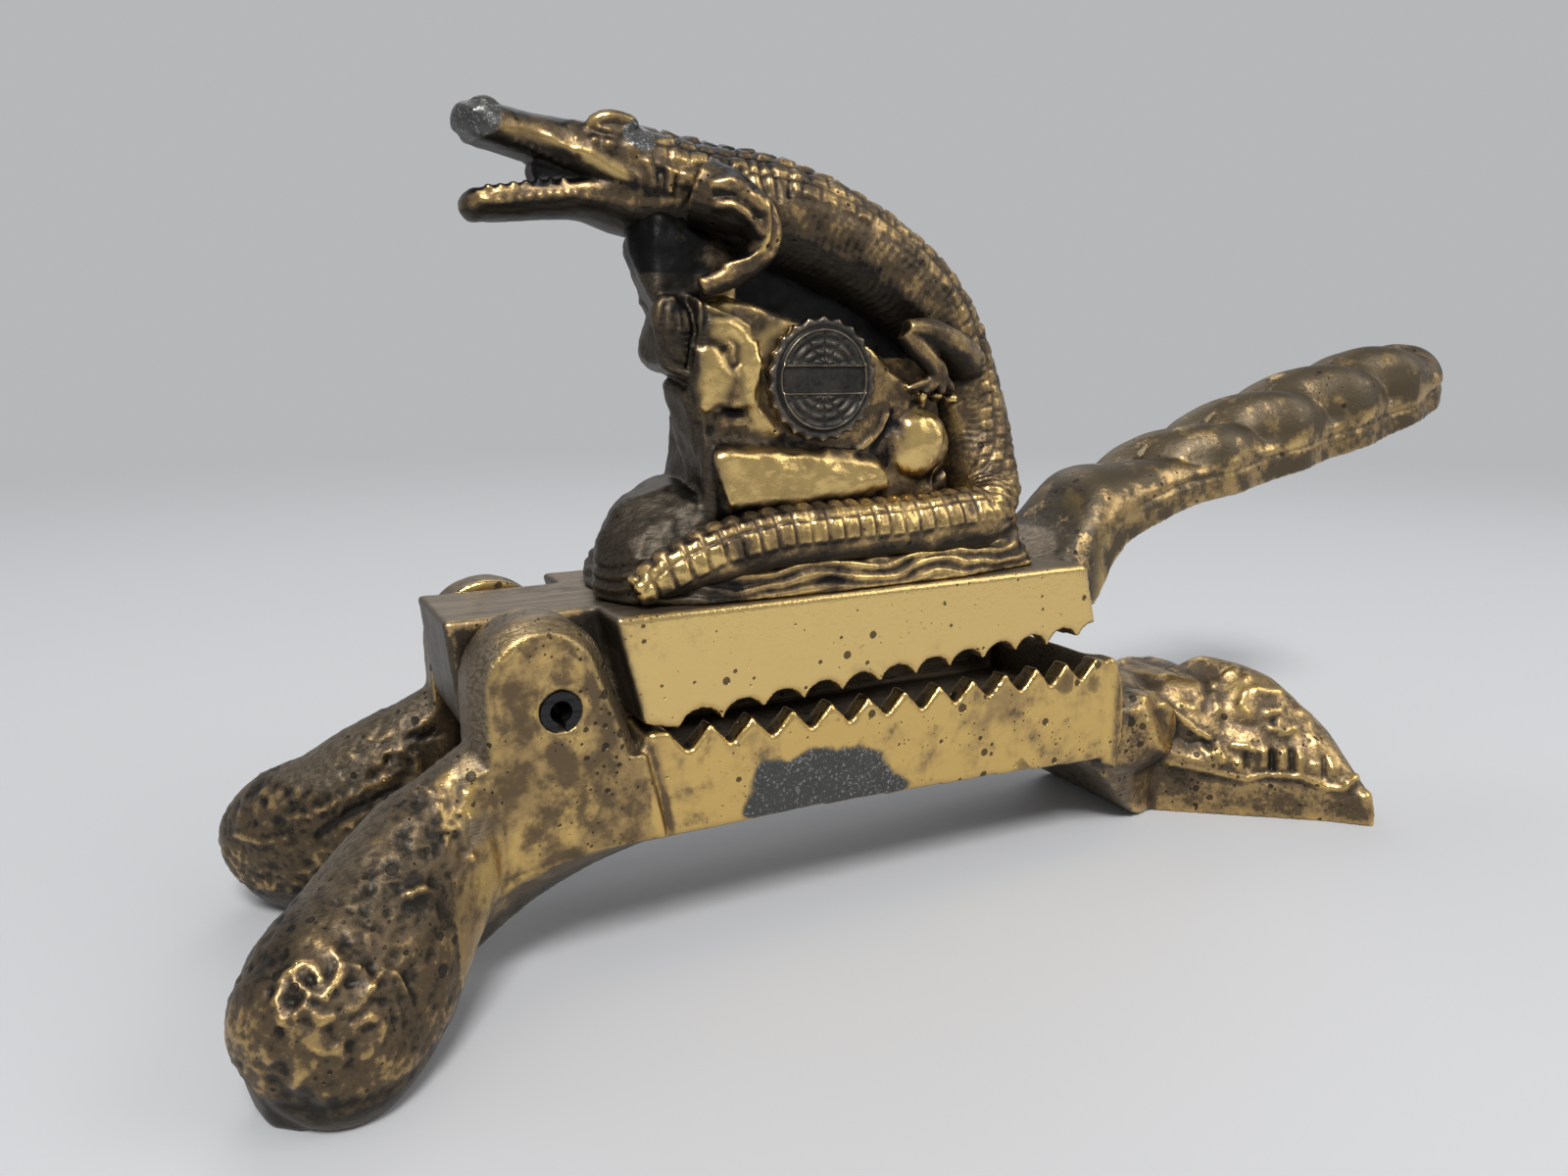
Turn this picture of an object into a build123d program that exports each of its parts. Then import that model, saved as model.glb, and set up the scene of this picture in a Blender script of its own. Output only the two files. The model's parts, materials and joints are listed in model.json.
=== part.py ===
"""Lever nutcracker: a toothed trough on splayed feet, a hinged toothed lever, and a reptile on a rock."""
from build123d import *
import os
from math import cos, pi, radians, sin, sqrt

os.makedirs("parts", exist_ok=True)

# Every length is in millimetres. X runs from the hinge to the handle, Z is up, and the near side is -Y.

# Hinge
pin_height = 34.9
pin_diameter = 4.76
pin_bore_diameter = 2.6
pin_slot_width = 0.9
running_clearance = 0.05

# Jaws
jaw_width = 31.2
jaw_wall = 3.0
tooth_pitch = 5.734
tooth_count = 12
first_peak_ahead = 13.0
bite_drop = 4.64
lower_tooth_depth = 3.15
upper_tooth_depth = 2.0
upper_tooth_offset = 1.77
bite_slope_angle = 3.2
trough_depth = 8.8
jaw_wall_height = 13.5
jaw_bottom_fall = 3.2
jaw_end_round = 13.0
jaw_end_drop = 4.2

# Cheeks of the hinge
cheek_top_radius = 7.9
cheek_lean = 1.9
cheek_rise = 3.0
cheek_rear_angle = 18.0
cheek_thickness = 7.6
cheek_proud = 0.6
cheek_bevel = 2.4
cheek_bevel_angle = 35.0
tongue_gap = 0.3

# Lever
plate_rise = 9.9
plate_thickness = 4.5
plate_length = 71.7
skirt_front_angle = 13.5
skirt_rear_angle = 16.5
hinge_gap = 2.05
skirt_corner_lift = 1.2
tongue_reach = 10.9
tongue_barrel_radius = 7.8
tongue_barrel_lean = 2.0
heel_drop = 5.4
heel_clearance = 0.3
sweep_clearance = 1.0

# Handle
handle_length = 97.5
handle_rise = 32.3
handle_width = 16.8
lobe_rise = 1.9
lobe_bulge = 0.9
lobe_slant = 8.6
grip_rise_angle = 20.5

# Feet
front_foot_reach = 36.5
front_foot_width = 17.6
front_foot_height = 22.0
leg_round = 3.4
rear_foot_start = 98.5
rear_foot_length = 39.5
rear_foot_width = 25.0
rear_foot_inset = 8.0
rear_splay_angle = 37.4

# Figure on the lever
figure_height = 58.0
figure_length = 71.7
figure_width = 31.2
plinth_height = 4.2
rock_core_width = 14.0
rock_face_width = 21.0

# Medallion
medallion_diameter = 15.8
medallion_thickness = 1.3
medallion_recess = 0.6
medallion_scallops = 22
scallop_radius = 1.25
medallion_line_width = 0.35
medallion_line_height = 0.3

# Screws that hold the figure
screw_diameter = 4.0
screw_hole_clearance = 0.2
screw_engagement = 9.0
screw_head_diameter = 7.4
screw_head_height = 2.4
screw_slot_width = 1.0
screw_slot_depth = 1.0
washer_diameter = 9.4
washer_thickness = 0.9
washer_clearance = 0.15

cut_overrun = 20.0

# Sizes worked out from the ones above
half_jaw = jaw_width / 2
cheek_outer = half_jaw + cheek_proud
cheek_inner = cheek_outer - cheek_thickness
tongue_half = cheek_inner - tongue_gap
pin_radius = pin_diameter / 2
plate_top = pin_height + plate_rise
plate_bottom = plate_top - plate_thickness
peak_height = pin_height - bite_drop
trough_floor = peak_height - trough_depth
jaw_bottom = peak_height - jaw_wall_height
last_peak = first_peak_ahead + tooth_count * tooth_pitch
heel_bottom = pin_height - heel_drop
shelf_top = heel_bottom - heel_clearance
barrel_bottom = pin_height - tongue_barrel_radius
slot_floor = barrel_bottom - tongue_barrel_lean * sin(radians(cheek_rear_angle)) - sweep_clearance


def line_distance(angle, point):
    """Distance from the pin's axis to the line through a point whose normal leans up by an angle."""
    return point[0] * cos(radians(angle)) + point[1] * sin(radians(angle))


def line_x(angle, distance, rise):
    """Place along X of a leaning line at a rise above the pin."""
    return (distance - rise * sin(radians(angle))) / cos(radians(angle))


cheek_line = line_distance(cheek_rear_angle, (-cheek_lean, cheek_rise)) + cheek_top_radius
skirt_line = cheek_line + hinge_gap
plate_front = line_x(skirt_front_angle, skirt_line, plate_rise)
plate_rear = plate_front + plate_length
front_wall_rear = line_x(skirt_front_angle, skirt_line, -bite_drop) + jaw_wall


def signed_power(value, power):
    """Value raised to a power with its sign kept, which squares an ellipse's corners."""
    return (abs(value) ** power) * (1 if value >= 0 else -1)


ring_points = 12
ring_squareness_share = 0.9


def ring(centre, across, upward, half_width, half_height):
    """Closed smooth section of a limb or body."""
    points = []
    for k in range(ring_points):
        turn = 2 * pi * k / ring_points
        side = half_width * signed_power(cos(turn), ring_squareness_share)
        lift = half_height * signed_power(sin(turn), ring_squareness_share)
        points.append(centre + across * side + upward * lift)
    return Wire([Edge.make_spline(points, periodic=True)])


def limb(rows):
    """Loft through rings set square to the line of their centres: rows of centre, half width, half height."""
    centres = [Vector(*row[0]) for row in rows]
    rings = []
    across = Vector(0, 1, 0)
    for k, (place, half_width, half_height) in enumerate(rows):
        before = centres[max(k - 1, 0)]
        after = centres[min(k + 1, len(rows) - 1)]
        along = (after - before).normalized()
        across = (across - along * across.dot(along)).normalized()
        upward = along.cross(across)
        rings.append(ring(centres[k], across, upward, half_width, half_height))
    return Solid.make_loft(rings)


def dome_wire(x, bottom, top, half_width, wall_share, lean=0, fall=0):
    """Section across X with a flat bottom, upright sides and a domed top. Its near side may lie further along
    X by lean, with its heights higher there by fall."""
    shoulder = bottom + (top - bottom) * wall_share
    knee = shoulder + (top - shoulder) * dome_knee_share
    knee_half = half_width * dome_knee_width_share
    knee_lean = lean * dome_knee_width_share
    knee_fall = fall * dome_knee_width_share
    low_near = Vector(x + lean, -half_width, bottom + fall)
    low_far = Vector(x - lean, half_width, bottom - fall)
    high_near = Vector(x + lean, -half_width, shoulder + fall)
    high_far = Vector(x - lean, half_width, shoulder - fall)
    knee_near = Vector(x + knee_lean, -knee_half, knee + knee_fall)
    knee_far = Vector(x - knee_lean, knee_half, knee - knee_fall)
    dome = [high_near, knee_near, Vector(x, 0, top), knee_far, high_far]
    return Wire([
        Edge.make_line(low_far, low_near),
        Edge.make_line(low_near, high_near),
        Edge.make_spline(dome),
        Edge.make_line(high_far, low_far),
    ])


dome_knee_share = 0.78
dome_knee_width_share = 0.68


def side_plate(points, near, far):
    """Prism between two places in Y, with its outline given as X and Z."""
    outline = Polyline(*[(x, z) for x, z in points], close=True)
    face = Plane.XZ * make_face(outline)
    prism = extrude(face, amount=far - near, dir=(0, 1, 0))
    return Pos(0, near, 0) * prism


def block(x_low, x_high, y_low, y_high, z_low, z_high):
    """Box between two corners."""
    size = Box(x_high - x_low, y_high - y_low, z_high - z_low)
    return Pos((x_low + x_high) / 2, (y_low + y_high) / 2, (z_low + z_high) / 2) * size


def cross_rod(x, z, radius, half_length):
    """Round bar along Y."""
    return Pos(x, 0, z) * Rot(90, 0, 0) * Cylinder(radius, 2 * half_length)


def both_sides(near):
    """The near piece and its mirror image."""
    return near + mirror(near, about=Plane.XZ)


# Base casting

jaw_underside_shares = [(0.0, 0.0), (0.35, 0.09), (0.68, 0.5), (0.9, 0.9), (1.0, 1.0)]


def jaw_plan(length_trim, width_trim):
    """Plan of the jaw: straight sides that end in a half ellipse."""
    half = half_jaw - width_trim
    centre = last_peak
    round_length = jaw_end_round - length_trim
    body = block(0, centre, -half, half, 0, 2 * pin_height)
    end = Solid.extrude(Face(Wire.make_ellipse(round_length, half)), Vector(0, 0, 2 * pin_height))
    return body + Pos(centre, 0, 0) * end


def jaw_body():
    """Lower jaw as a solid block, with its underside falling to the rear and its far end rounded."""
    start = 0
    rear = last_peak + jaw_end_round
    bottom = [
        (start + (rear - start) * x, jaw_bottom - jaw_bottom_fall * fall) for x, fall in jaw_underside_shares
    ]
    top = [(rear, peak_height - jaw_end_drop), (last_peak, peak_height), (start, peak_height)]
    return side_plate(bottom + top, -half_jaw, half_jaw) & jaw_plan(0, 0)


def trough():
    """Space inside the lower jaw where the nut lies."""
    front = front_wall_rear
    rear = last_peak + jaw_end_round
    inside = block(front, rear, -half_jaw, half_jaw, trough_floor, 2 * pin_height)
    return inside & jaw_plan(jaw_wall, jaw_wall)


def lower_notches():
    """V notches between the lower teeth, cut right across both walls."""
    cuts = []
    for k in range(tooth_count):
        x = first_peak_ahead + k * tooth_pitch
        root = (x + tooth_pitch / 2, peak_height - lower_tooth_depth)
        rise = lower_tooth_depth
        points = [(x, peak_height), root, (x + tooth_pitch, peak_height)]
        over = [(x + tooth_pitch, peak_height + rise), (x, peak_height + rise)]
        cuts.append(side_plate(points + over, -half_jaw - cut_overrun, half_jaw + cut_overrun))
    return cuts


# Leg under a cheek, from the ear's front round the foot to the jaw's underside: places as shares of the
# front foot's reach ahead of the pin and of the pin's height.
leg_front_shares = [(-0.268, 0.84), (-0.356, 0.74), (-0.427, 0.587), (-0.46, 0.415), (-0.466, 0.246)]
leg_under_shares = [
    (-0.466, 0.246),
    (-0.329, 0.335),
    (-0.189, 0.43),
    (-0.063, 0.476),
    (0.131, 0.493),
    (0.34, 0.499),
]
leg_inner_front_shares = [(-0.268, 0.84), (-0.373, 0.74), (-0.455, 0.573), (-0.479, 0.344), (-0.447, 0.086)]
leg_inner_under_shares = [
    (-0.447, 0.086),
    (-0.329, 0.152),
    (-0.227, 0.229),
    (-0.063, 0.332),
    (0.096, 0.398),
    (0.34, 0.453),
]
ear_drop_share = 1.75
leg_join_share = 0.5


def leg_point(share):
    """Point in X and Z of the leg's outline."""
    return Vector(share[0] * front_foot_reach, 0, share[1] * pin_height)


def cheek():
    """Near cheek: an ear with a round top and a bevelled outer face, on a leg that arches to the ground."""
    centre = Vector(-cheek_lean, 0, pin_height + cheek_rise)
    normal = radians(cheek_rear_angle)
    front = centre + Vector(-cheek_top_radius, 0, 0)
    crown = centre + Vector(0, 0, cheek_top_radius)
    touch = centre + Vector(cos(normal), 0, sin(normal)) * cheek_top_radius
    ear_drop = ear_drop_share * cheek_top_radius
    low_rear = Vector(line_x(cheek_rear_angle, cheek_line, -ear_drop), 0, pin_height - ear_drop)
    low_front = Vector(front.X, 0, low_rear.Z)
    ear_face = Face(Wire([
        Edge.make_three_point_arc(front, crown_point(centre, pi - pi / 4), crown),
        Edge.make_three_point_arc(crown, crown_point(centre, pi / 4), touch),
        Edge.make_line(touch, low_rear),
        Edge.make_line(low_rear, low_front),
        Edge.make_line(low_front, front),
    ]))
    ear = plate_of(ear_face, cheek_outer - cheek_bevel, cheek_inner)
    bevelled = Pos(0, -cheek_outer + cheek_bevel, 0) * extrude(
        ear_face, amount=cheek_bevel, dir=(0, -1, 0), taper=cheek_bevel_angle
    )
    join_drop = leg_join_share * ear_drop
    join = Vector(line_x(cheek_rear_angle, cheek_line, -join_drop), 0, pin_height - join_drop)
    outer = leg_wire(leg_front_shares, leg_under_shares, join, cheek_outer)
    middle = leg_wire(leg_inner_front_shares, leg_inner_under_shares, join, cheek_outer - leg_round)
    inner = leg_wire(leg_inner_front_shares, leg_inner_under_shares, join, cheek_inner)
    leg = Solid.make_loft([outer, middle], ruled=True) + Solid.make_loft([middle, inner], ruled=True)
    return ear + bevelled + leg


def leg_wire(front_shares, under_shares, join, out):
    """Outline of the near leg at a distance out from the middle."""
    place = Vector(0, -out, 0)
    first = leg_point(front_shares[0]) + place
    last = leg_point(under_shares[-1]) + place
    return Wire([
        Edge.make_spline([leg_point(share) + place for share in front_shares]),
        Edge.make_spline([leg_point(share) + place for share in under_shares]),
        Edge.make_line(last, join + place),
        Edge.make_line(join + place, first),
    ])


def crown_point(centre, turn):
    """Point on the ear's round top."""
    return centre + Vector(cos(turn), 0, sin(turn)) * cheek_top_radius


def plate_of(face, outer, inner):
    """Near-side plate of a face that lies in X and Z."""
    return Pos(0, -outer, 0) * extrude(face, amount=outer - inner, dir=(0, 1, 0))


# Sections of a front foot from inside the cheek to its tip: ahead of the pin and aside as shares of the
# foot's reach, height as a share of the pin's height, half width and half height as shares of half the
# foot's own width and height.
front_foot_shares = [
    (-0.099, 0.334, 0.659, 0.364, 0.618),
    (-0.271, 0.345, 0.642, 0.545, 0.745),
    (-0.389, 0.378, 0.562, 0.705, 0.8),
    (-0.493, 0.438, 0.464, 0.83, 0.855),
    (-0.586, 0.51, 0.367, 0.909, 0.927),
    (-0.674, 0.586, 0.292, 0.943, 0.982),
    (-0.742, 0.66, 0.241, 0.92, 0.945),
    (-0.795, 0.729, 0.206, 0.807, 0.855),
    (-0.83, 0.784, 0.186, 0.591, 0.673),
    (-0.847, 0.811, 0.178, 0.295, 0.418),
]


def front_foot():
    """Near front foot: a nut shell with a waist that runs from the cheek to the ground, splayed outwards."""
    rows = []
    for ahead, aside, high, wide, tall in front_foot_shares:
        place = (ahead * front_foot_reach, -aside * front_foot_reach, high * pin_height)
        rows.append((place, wide * front_foot_width / 2, tall * front_foot_height / 2))
    return limb(rows)


# Sections of a rear foot from the jaw outwards: distance as a share of its length, top as a share of the
# pin's height, half width as a share of half its width.
rear_foot_shares = [
    (0.0, 0.6, 0.66),
    (0.15, 0.61, 0.86),
    (0.32, 0.59, 0.98),
    (0.5, 0.54, 1.0),
    (0.66, 0.485, 0.93),
    (0.8, 0.4, 0.78),
    (0.92, 0.26, 0.56),
    (1.0, 0.12, 0.3),
]


def rear_foot():
    """Near rear foot: half a nut lying on the ground, splayed outwards."""
    turn = radians(rear_splay_angle)
    along = Vector(cos(turn), -sin(turn), 0)
    inward = Vector(sin(turn), cos(turn), 0)
    edge = Vector(rear_foot_start, -rear_foot_inset, 0)
    rings = []
    for far, top, wide in rear_foot_shares:
        half_width = wide * rear_foot_width / 2
        centre = edge + along * (far * rear_foot_length) + inward * half_width
        rings.append(ring(centre, inward, Vector(0, 0, 1), half_width, top * pin_height))
    return Solid.make_loft(rings)


# Spine from the jaw's end down to the rear feet: place as a share of the way from the last tooth to the
# foot's start, bottom and top as shares of the pin's height, half width as a share of half the jaw's width.
spine_shares = [
    (-0.3, 0.395, 0.6, 0.94),
    (0.0, 0.37, 0.62, 0.88),
    (0.25, 0.3, 0.66, 0.84),
    (0.5, 0.19, 0.7, 0.8),
    (0.8, 0.05, 0.72, 0.74),
    (1.1, 0.0, 0.66, 0.66),
    (1.5, 0.0, 0.63, 0.55),
    (1.9, 0.0, 0.61, 0.42),
]
spine_wall_share = 0.45


def rear_spine():
    """Arched web that joins the jaw to the rear feet."""
    span = rear_foot_start - last_peak
    wires = []
    for x, bottom, top, wide in spine_shares:
        place = last_peak + x * span
        low, high = bottom * pin_height, top * pin_height
        wires.append(dome_wire(place, low, high, wide * half_jaw, spine_wall_share))
    return Solid.make_loft(wires)


def hinge_web():
    """Floor between the cheeks, with the shelf that the lever's heel rests above."""
    front = -cheek_lean - cheek_top_radius * cheek_front_web_share
    low = jaw_bottom - jaw_bottom_fall
    shelf_front = cheek_top_radius * shelf_front_share
    outline = [
        (front, low),
        (front, slot_floor),
        (shelf_front, slot_floor),
        (shelf_front, shelf_top),
        (front_wall_rear, shelf_top),
        (front_wall_rear, low + jaw_bottom_fall),
    ]
    return side_plate(outline, -cheek_inner, cheek_inner)


cheek_front_web_share = 0.5
shelf_front_share = 0.7


def hinge_slot():
    """Space between the cheeks where the lever's tongue and heel swing."""
    front = -2 * front_foot_reach
    shelf_front = cheek_top_radius * shelf_front_share
    over_shelf = block(front, front_wall_rear, -cheek_inner, cheek_inner, shelf_top, 2 * pin_height)
    over_floor = block(front, shelf_front, -cheek_inner, cheek_inner, slot_floor, 2 * pin_height)
    return over_shelf + over_floor


def base_casting():
    """Lower jaw, cheeks and four feet in one casting."""
    body = jaw_body() + rear_spine() - trough()
    for cut in lower_notches():
        body = body - cut
    ahead = first_peak_ahead - tooth_pitch / 2
    body = body - block(-front_foot_reach, ahead, -half_jaw, half_jaw, 0, 2 * pin_height)
    body = body + both_sides(cheek() + front_foot()) + hinge_web() - hinge_slot()
    body = body + both_sides(rear_foot())
    under = block(-plate_length, 3 * plate_length, -plate_length, plate_length, -plate_length, 0)
    body = body - under
    return body - cross_rod(0, pin_height, pin_radius, cut_overrun)


# Lever casting


def upper_tip(x):
    """Height of the upper tooth tips at a place along X."""
    first = first_peak_ahead + upper_tooth_offset
    return peak_height + (x - first) * sin(radians(bite_slope_angle))


def lever_outline():
    """Side outline of the plate and its skirts."""
    foot_rise = -bite_drop + skirt_corner_lift
    front_low = (line_x(skirt_front_angle, skirt_line, foot_rise), pin_height + foot_rise)
    first = first_peak_ahead + upper_tooth_offset
    rear_top = (plate_rear, plate_top)
    rear_x = plate_rear + plate_rise * sin(radians(skirt_rear_angle))
    return [
        (plate_front, plate_top),
        front_low,
        (first, upper_tip(first)),
        (rear_x, upper_tip(rear_x)),
        rear_top,
    ]


def upper_notches():
    """Rounded notches between the upper teeth."""
    first = first_peak_ahead + upper_tooth_offset
    radius = (tooth_pitch / 2) ** 2 / (2 * upper_tooth_depth) + upper_tooth_depth / 2
    cuts = []
    for k in range(tooth_count):
        x = first + (k + 1 / 2) * tooth_pitch
        z = upper_tip(x) + upper_tooth_depth - radius
        cuts.append(cross_rod(x, z, radius, half_jaw + cut_overrun))
    return cuts


def tongue():
    """Hinge tongue that swings between the cheeks, with the heel that stops the lever."""
    centre = (-tongue_barrel_lean, pin_height)
    sink = sqrt(tongue_barrel_radius ** 2 - heel_drop ** 2)
    outline = [
        (-tongue_reach, plate_top),
        (centre[0] - tongue_barrel_radius, pin_height),
        (centre[0], pin_height),
        (centre[0] + sink, heel_bottom),
        (front_wall_rear, heel_bottom),
        (front_wall_rear, plate_top),
    ]
    web = side_plate(outline, -tongue_half, tongue_half)
    barrel = cross_rod(centre[0], pin_height, tongue_barrel_radius, tongue_half)
    return web + barrel


# Handle sections from the plate to the tip: place as a share of the handle's length, bottom and top as
# shares of its rise above the plate, half width as a share of half its width, and how far the section is
# turned as a share of the lobes' slant.
handle_root_shares = [
    (0.0, -0.195, 0.02, 1.5, 0.0),
    (0.045, -0.255, 0.09, 1.37, 0.0),
    (0.087, -0.245, 0.22, 1.23, 0.0),
    (0.118, -0.18, 0.33, 1.13, 0.0),
    (0.145, -0.03, 0.38, 1.06, 0.12),
    (0.18, 0.07, 0.41, 1.02, 0.35),
    (0.22, 0.112, 0.43, 1.0, 0.62),
]
handle_notch_shares = [
    (0.257, 0.136, 0.44, 0.97, 0.85),
    (0.417, 0.214, 0.61, 0.98, 1.0),
    (0.576, 0.316, 0.77, 0.99, 1.0),
    (0.735, 0.415, 0.89, 1.0, 1.0),
    (0.894, 0.542, 0.975, 0.98, 0.55),
]
handle_tip_shares = [
    (0.938, 0.591, 1.0, 0.97, 0.28),
    (0.979, 0.64, 0.97, 0.9, 0.08),
    (1.0, 0.703, 0.9, 0.78, 0.0),
]
handle_wall_share = 0.36


def handle_rows():
    """Every handle section, with a crown between each pair of notches."""
    rows = [(*row, 0) for row in handle_root_shares]
    for first, second in zip(handle_notch_shares, handle_notch_shares[1:]):
        rows.append((*first, 0))
        middle = [(a + b) / 2 for a, b in zip(first, second)]
        rows.append((*middle, 1))
    rows.append((*handle_notch_shares[-1], 0))
    rows.extend((*row, 0) for row in handle_tip_shares)
    return rows


def handle():
    """Grip that rises from the plate's rear edge, with twisted lobes along its back."""
    start = plate_rear - plate_thickness / 2
    wires = []
    for x, low, high, wide, turned, crown in handle_rows():
        bottom = plate_top + low * handle_rise
        top = plate_top + high * handle_rise + crown * lobe_rise
        half_width = wide * handle_width / 2 + crown * lobe_bulge
        lean = turned * lobe_slant
        fall = lean * sin(radians(grip_rise_angle))
        place = start + x * handle_length
        wires.append(dome_wire(place, bottom, top, half_width, handle_wall_share, lean, fall))
    return Solid.make_loft(wires)


def channel():
    """Hollow under the plate, between the skirts."""
    rear = plate_rear - jaw_wall
    inner = half_jaw - jaw_wall
    low = peak_height - cut_overrun
    return block(front_wall_rear, rear, -inner, inner, low, plate_bottom)


def screw_places():
    """Places along X of the two screws under the plate."""
    return [plate_front + share * plate_length for share in screw_place_shares]


screw_place_shares = (0.24, 0.74)


def lever_casting():
    """Plate, toothed skirts, hinge tongue and handle in one casting."""
    body = side_plate(lever_outline(), -half_jaw, half_jaw)
    for cut in upper_notches():
        body = body - cut
    body = body - channel()
    body = body + tongue() + handle()
    hole_radius = screw_diameter / 2 + screw_hole_clearance
    for x in screw_places():
        body = body - Pos(x, 0, plate_top) * Cylinder(hole_radius, 4 * plate_thickness)
    bore = pin_radius + running_clearance
    return body - cross_rod(0, pin_height, bore, cut_overrun)


# Figure casting: the reptile on its rock. Each row is a place along X as a share of the figure's length,
# along Y as a share of half its width, along Z as a share of its height, then the half width as a share of
# half the figure's width and the half height as a share of its height.

body_shares = [
    (0.098, 0.0, 0.862, 0.41, 0.093),
    (0.167, 0.0, 0.852, 0.449, 0.11),
    (0.251, 0.0, 0.834, 0.513, 0.119),
    (0.356, 0.0, 0.817, 0.564, 0.128),
    (0.474, 0.0, 0.779, 0.596, 0.133),
    (0.595, 0.0, 0.704, 0.59, 0.132),
    (0.704, 0.0, 0.61, 0.558, 0.13),
    (0.781, -0.032, 0.496, 0.49, 0.12),
    (0.826, -0.128, 0.374, 0.42, 0.11),
    (0.836, -0.321, 0.258, 0.36, 0.1),
    (0.82, -0.545, 0.165, 0.31, 0.088),
    (0.788, -0.718, 0.134, 0.269, 0.076),
    (0.683, -0.782, 0.128, 0.224, 0.071),
    (0.544, -0.808, 0.126, 0.205, 0.066),
    (0.404, -0.821, 0.131, 0.186, 0.06),
    (0.279, -0.821, 0.129, 0.167, 0.053),
    (0.181, -0.808, 0.107, 0.147, 0.045),
    (0.105, -0.788, 0.071, 0.115, 0.033),
    (0.063, -0.769, 0.038, 0.071, 0.019),
]
upper_jaw_shares = [
    (-0.158, 0.0, 0.95, 0.128, 0.024),
    (-0.134, 0.0, 0.956, 0.224, 0.037),
    (-0.077, 0.0, 0.946, 0.244, 0.048),
    (-0.028, 0.0, 0.934, 0.282, 0.053),
    (0.035, 0.0, 0.918, 0.359, 0.063),
    (0.084, 0.0, 0.9, 0.417, 0.081),
    (0.139, 0.0, 0.876, 0.442, 0.093),
    (0.195, 0.0, 0.859, 0.449, 0.1),
]
lower_jaw_shares = [
    (-0.153, 0.0, 0.797, 0.128, 0.02),
    (-0.131, 0.0, 0.802, 0.212, 0.033),
    (-0.07, 0.0, 0.812, 0.244, 0.038),
    (-0.014, 0.0, 0.82, 0.282, 0.037),
    (0.042, 0.0, 0.824, 0.34, 0.038),
    (0.098, 0.0, 0.817, 0.385, 0.055),
    (0.167, 0.0, 0.814, 0.41, 0.069),
]
foreleg_shares = [
    (0.251, -0.353, 0.866, 0.218, 0.069),
    (0.283, -0.551, 0.834, 0.173, 0.057),
    (0.315, -0.66, 0.783, 0.135, 0.043),
    (0.297, -0.705, 0.738, 0.115, 0.034),
    (0.244, -0.699, 0.703, 0.103, 0.031),
    (0.199, -0.673, 0.674, 0.122, 0.026),
    (0.165, -0.641, 0.647, 0.083, 0.017),
]
thigh_shares = [
    (0.81, -0.2, 0.53, 0.2, 0.07),
    (0.73, -0.48, 0.54, 0.185, 0.064),
    (0.66, -0.65, 0.57, 0.155, 0.05),
    (0.6, -0.72, 0.585, 0.11, 0.034),
]
shin_shares = [
    (0.6, -0.69, 0.6, 0.09, 0.028),
    (0.617, -0.71, 0.54, 0.11, 0.032),
    (0.65, -0.71, 0.485, 0.12, 0.028),
    (0.7, -0.68, 0.44, 0.09, 0.019),
]
rock_core_shares = [
    (0.049, 0.0),
    (0.017, 0.081),
    (0.032, 0.172),
    (0.078, 0.226),
    (0.187, 0.238),
    (0.198, 0.281),
    (0.194, 0.357),
    (0.153, 0.434),
    (0.13, 0.491),
    (0.151, 0.567),
    (0.139, 0.641),
    (0.126, 0.753),
    (0.237, 0.779),
    (0.377, 0.762),
    (0.516, 0.71),
    (0.656, 0.616),
    (0.767, 0.503),
    (0.837, 0.366),
    (0.879, 0.193),
    (0.921, 0.0),
]
rock_face_shares = [
    (0.07, 0.0),
    (0.07, 0.176),
    (0.167, 0.228),
    (0.216, 0.279),
    (0.209, 0.366),
    (0.174, 0.452),
    (0.153, 0.521),
    (0.162, 0.616),
    (0.293, 0.624),
    (0.418, 0.581),
    (0.544, 0.5),
    (0.642, 0.383),
    (0.711, 0.228),
    (0.767, 0.0),
]
plinth_shares = [
    (0.035, 0.0),
    (0.06, 0.7),
    (0.16, 0.93),
    (0.4, 0.98),
    (0.7, 0.96),
    (0.9, 0.8),
    (0.95, 0.0),
]
medallion_place_shares = (0.416, 0.459)
mound_place_shares = (0.13, 0.0, 0.03)
mound_size_shares = (0.12, 0.8, 0.2)


def figure_limb(shares):
    """Loft of a body or limb from its table of shares."""
    rows = []
    for x, y, z, wide, high in shares:
        place = figure_place(x, y, z)
        rows.append((place, wide * figure_width / 2, high * figure_height))
    return limb(rows)


def figure_place(x, y, z):
    """Point of the figure from its shares."""
    return (plate_front + x * figure_length, y * figure_width / 2, plate_top + z * figure_height)


def rock_slab(shares, width):
    """Upright slab of rock with a hewn outline."""
    points = []
    for x, z in shares:
        place = figure_place(x, 0, z)
        points.append((place[0], place[2]))
    return side_plate(points, -width / 2, width / 2)


def plinth():
    """Lens-shaped foot of the figure that lies on the plate."""
    near = [figure_place(x, -y, 0)[:2] for x, y in plinth_shares]
    far = [figure_place(x, y, 0)[:2] for x, y in plinth_shares]
    outline = Polyline(*(near + far[-2:0:-1]), close=True)
    return Pos(0, 0, plate_top) * extrude(make_face(outline), amount=plinth_height)


def mound():
    """Rounded boulder at the front of the figure."""
    x, y, z = figure_place(*mound_place_shares)
    long, wide, high = mound_size_shares
    size = (long * figure_length, wide * figure_width / 2, high * figure_height)
    ball = scale(Sphere(1), by=size)
    floor = block(-figure_length, figure_length, -figure_width, figure_width, 0, figure_height)
    return (Pos(x, y, z) * ball) & (Pos(0, 0, plate_top) * floor)


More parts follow.
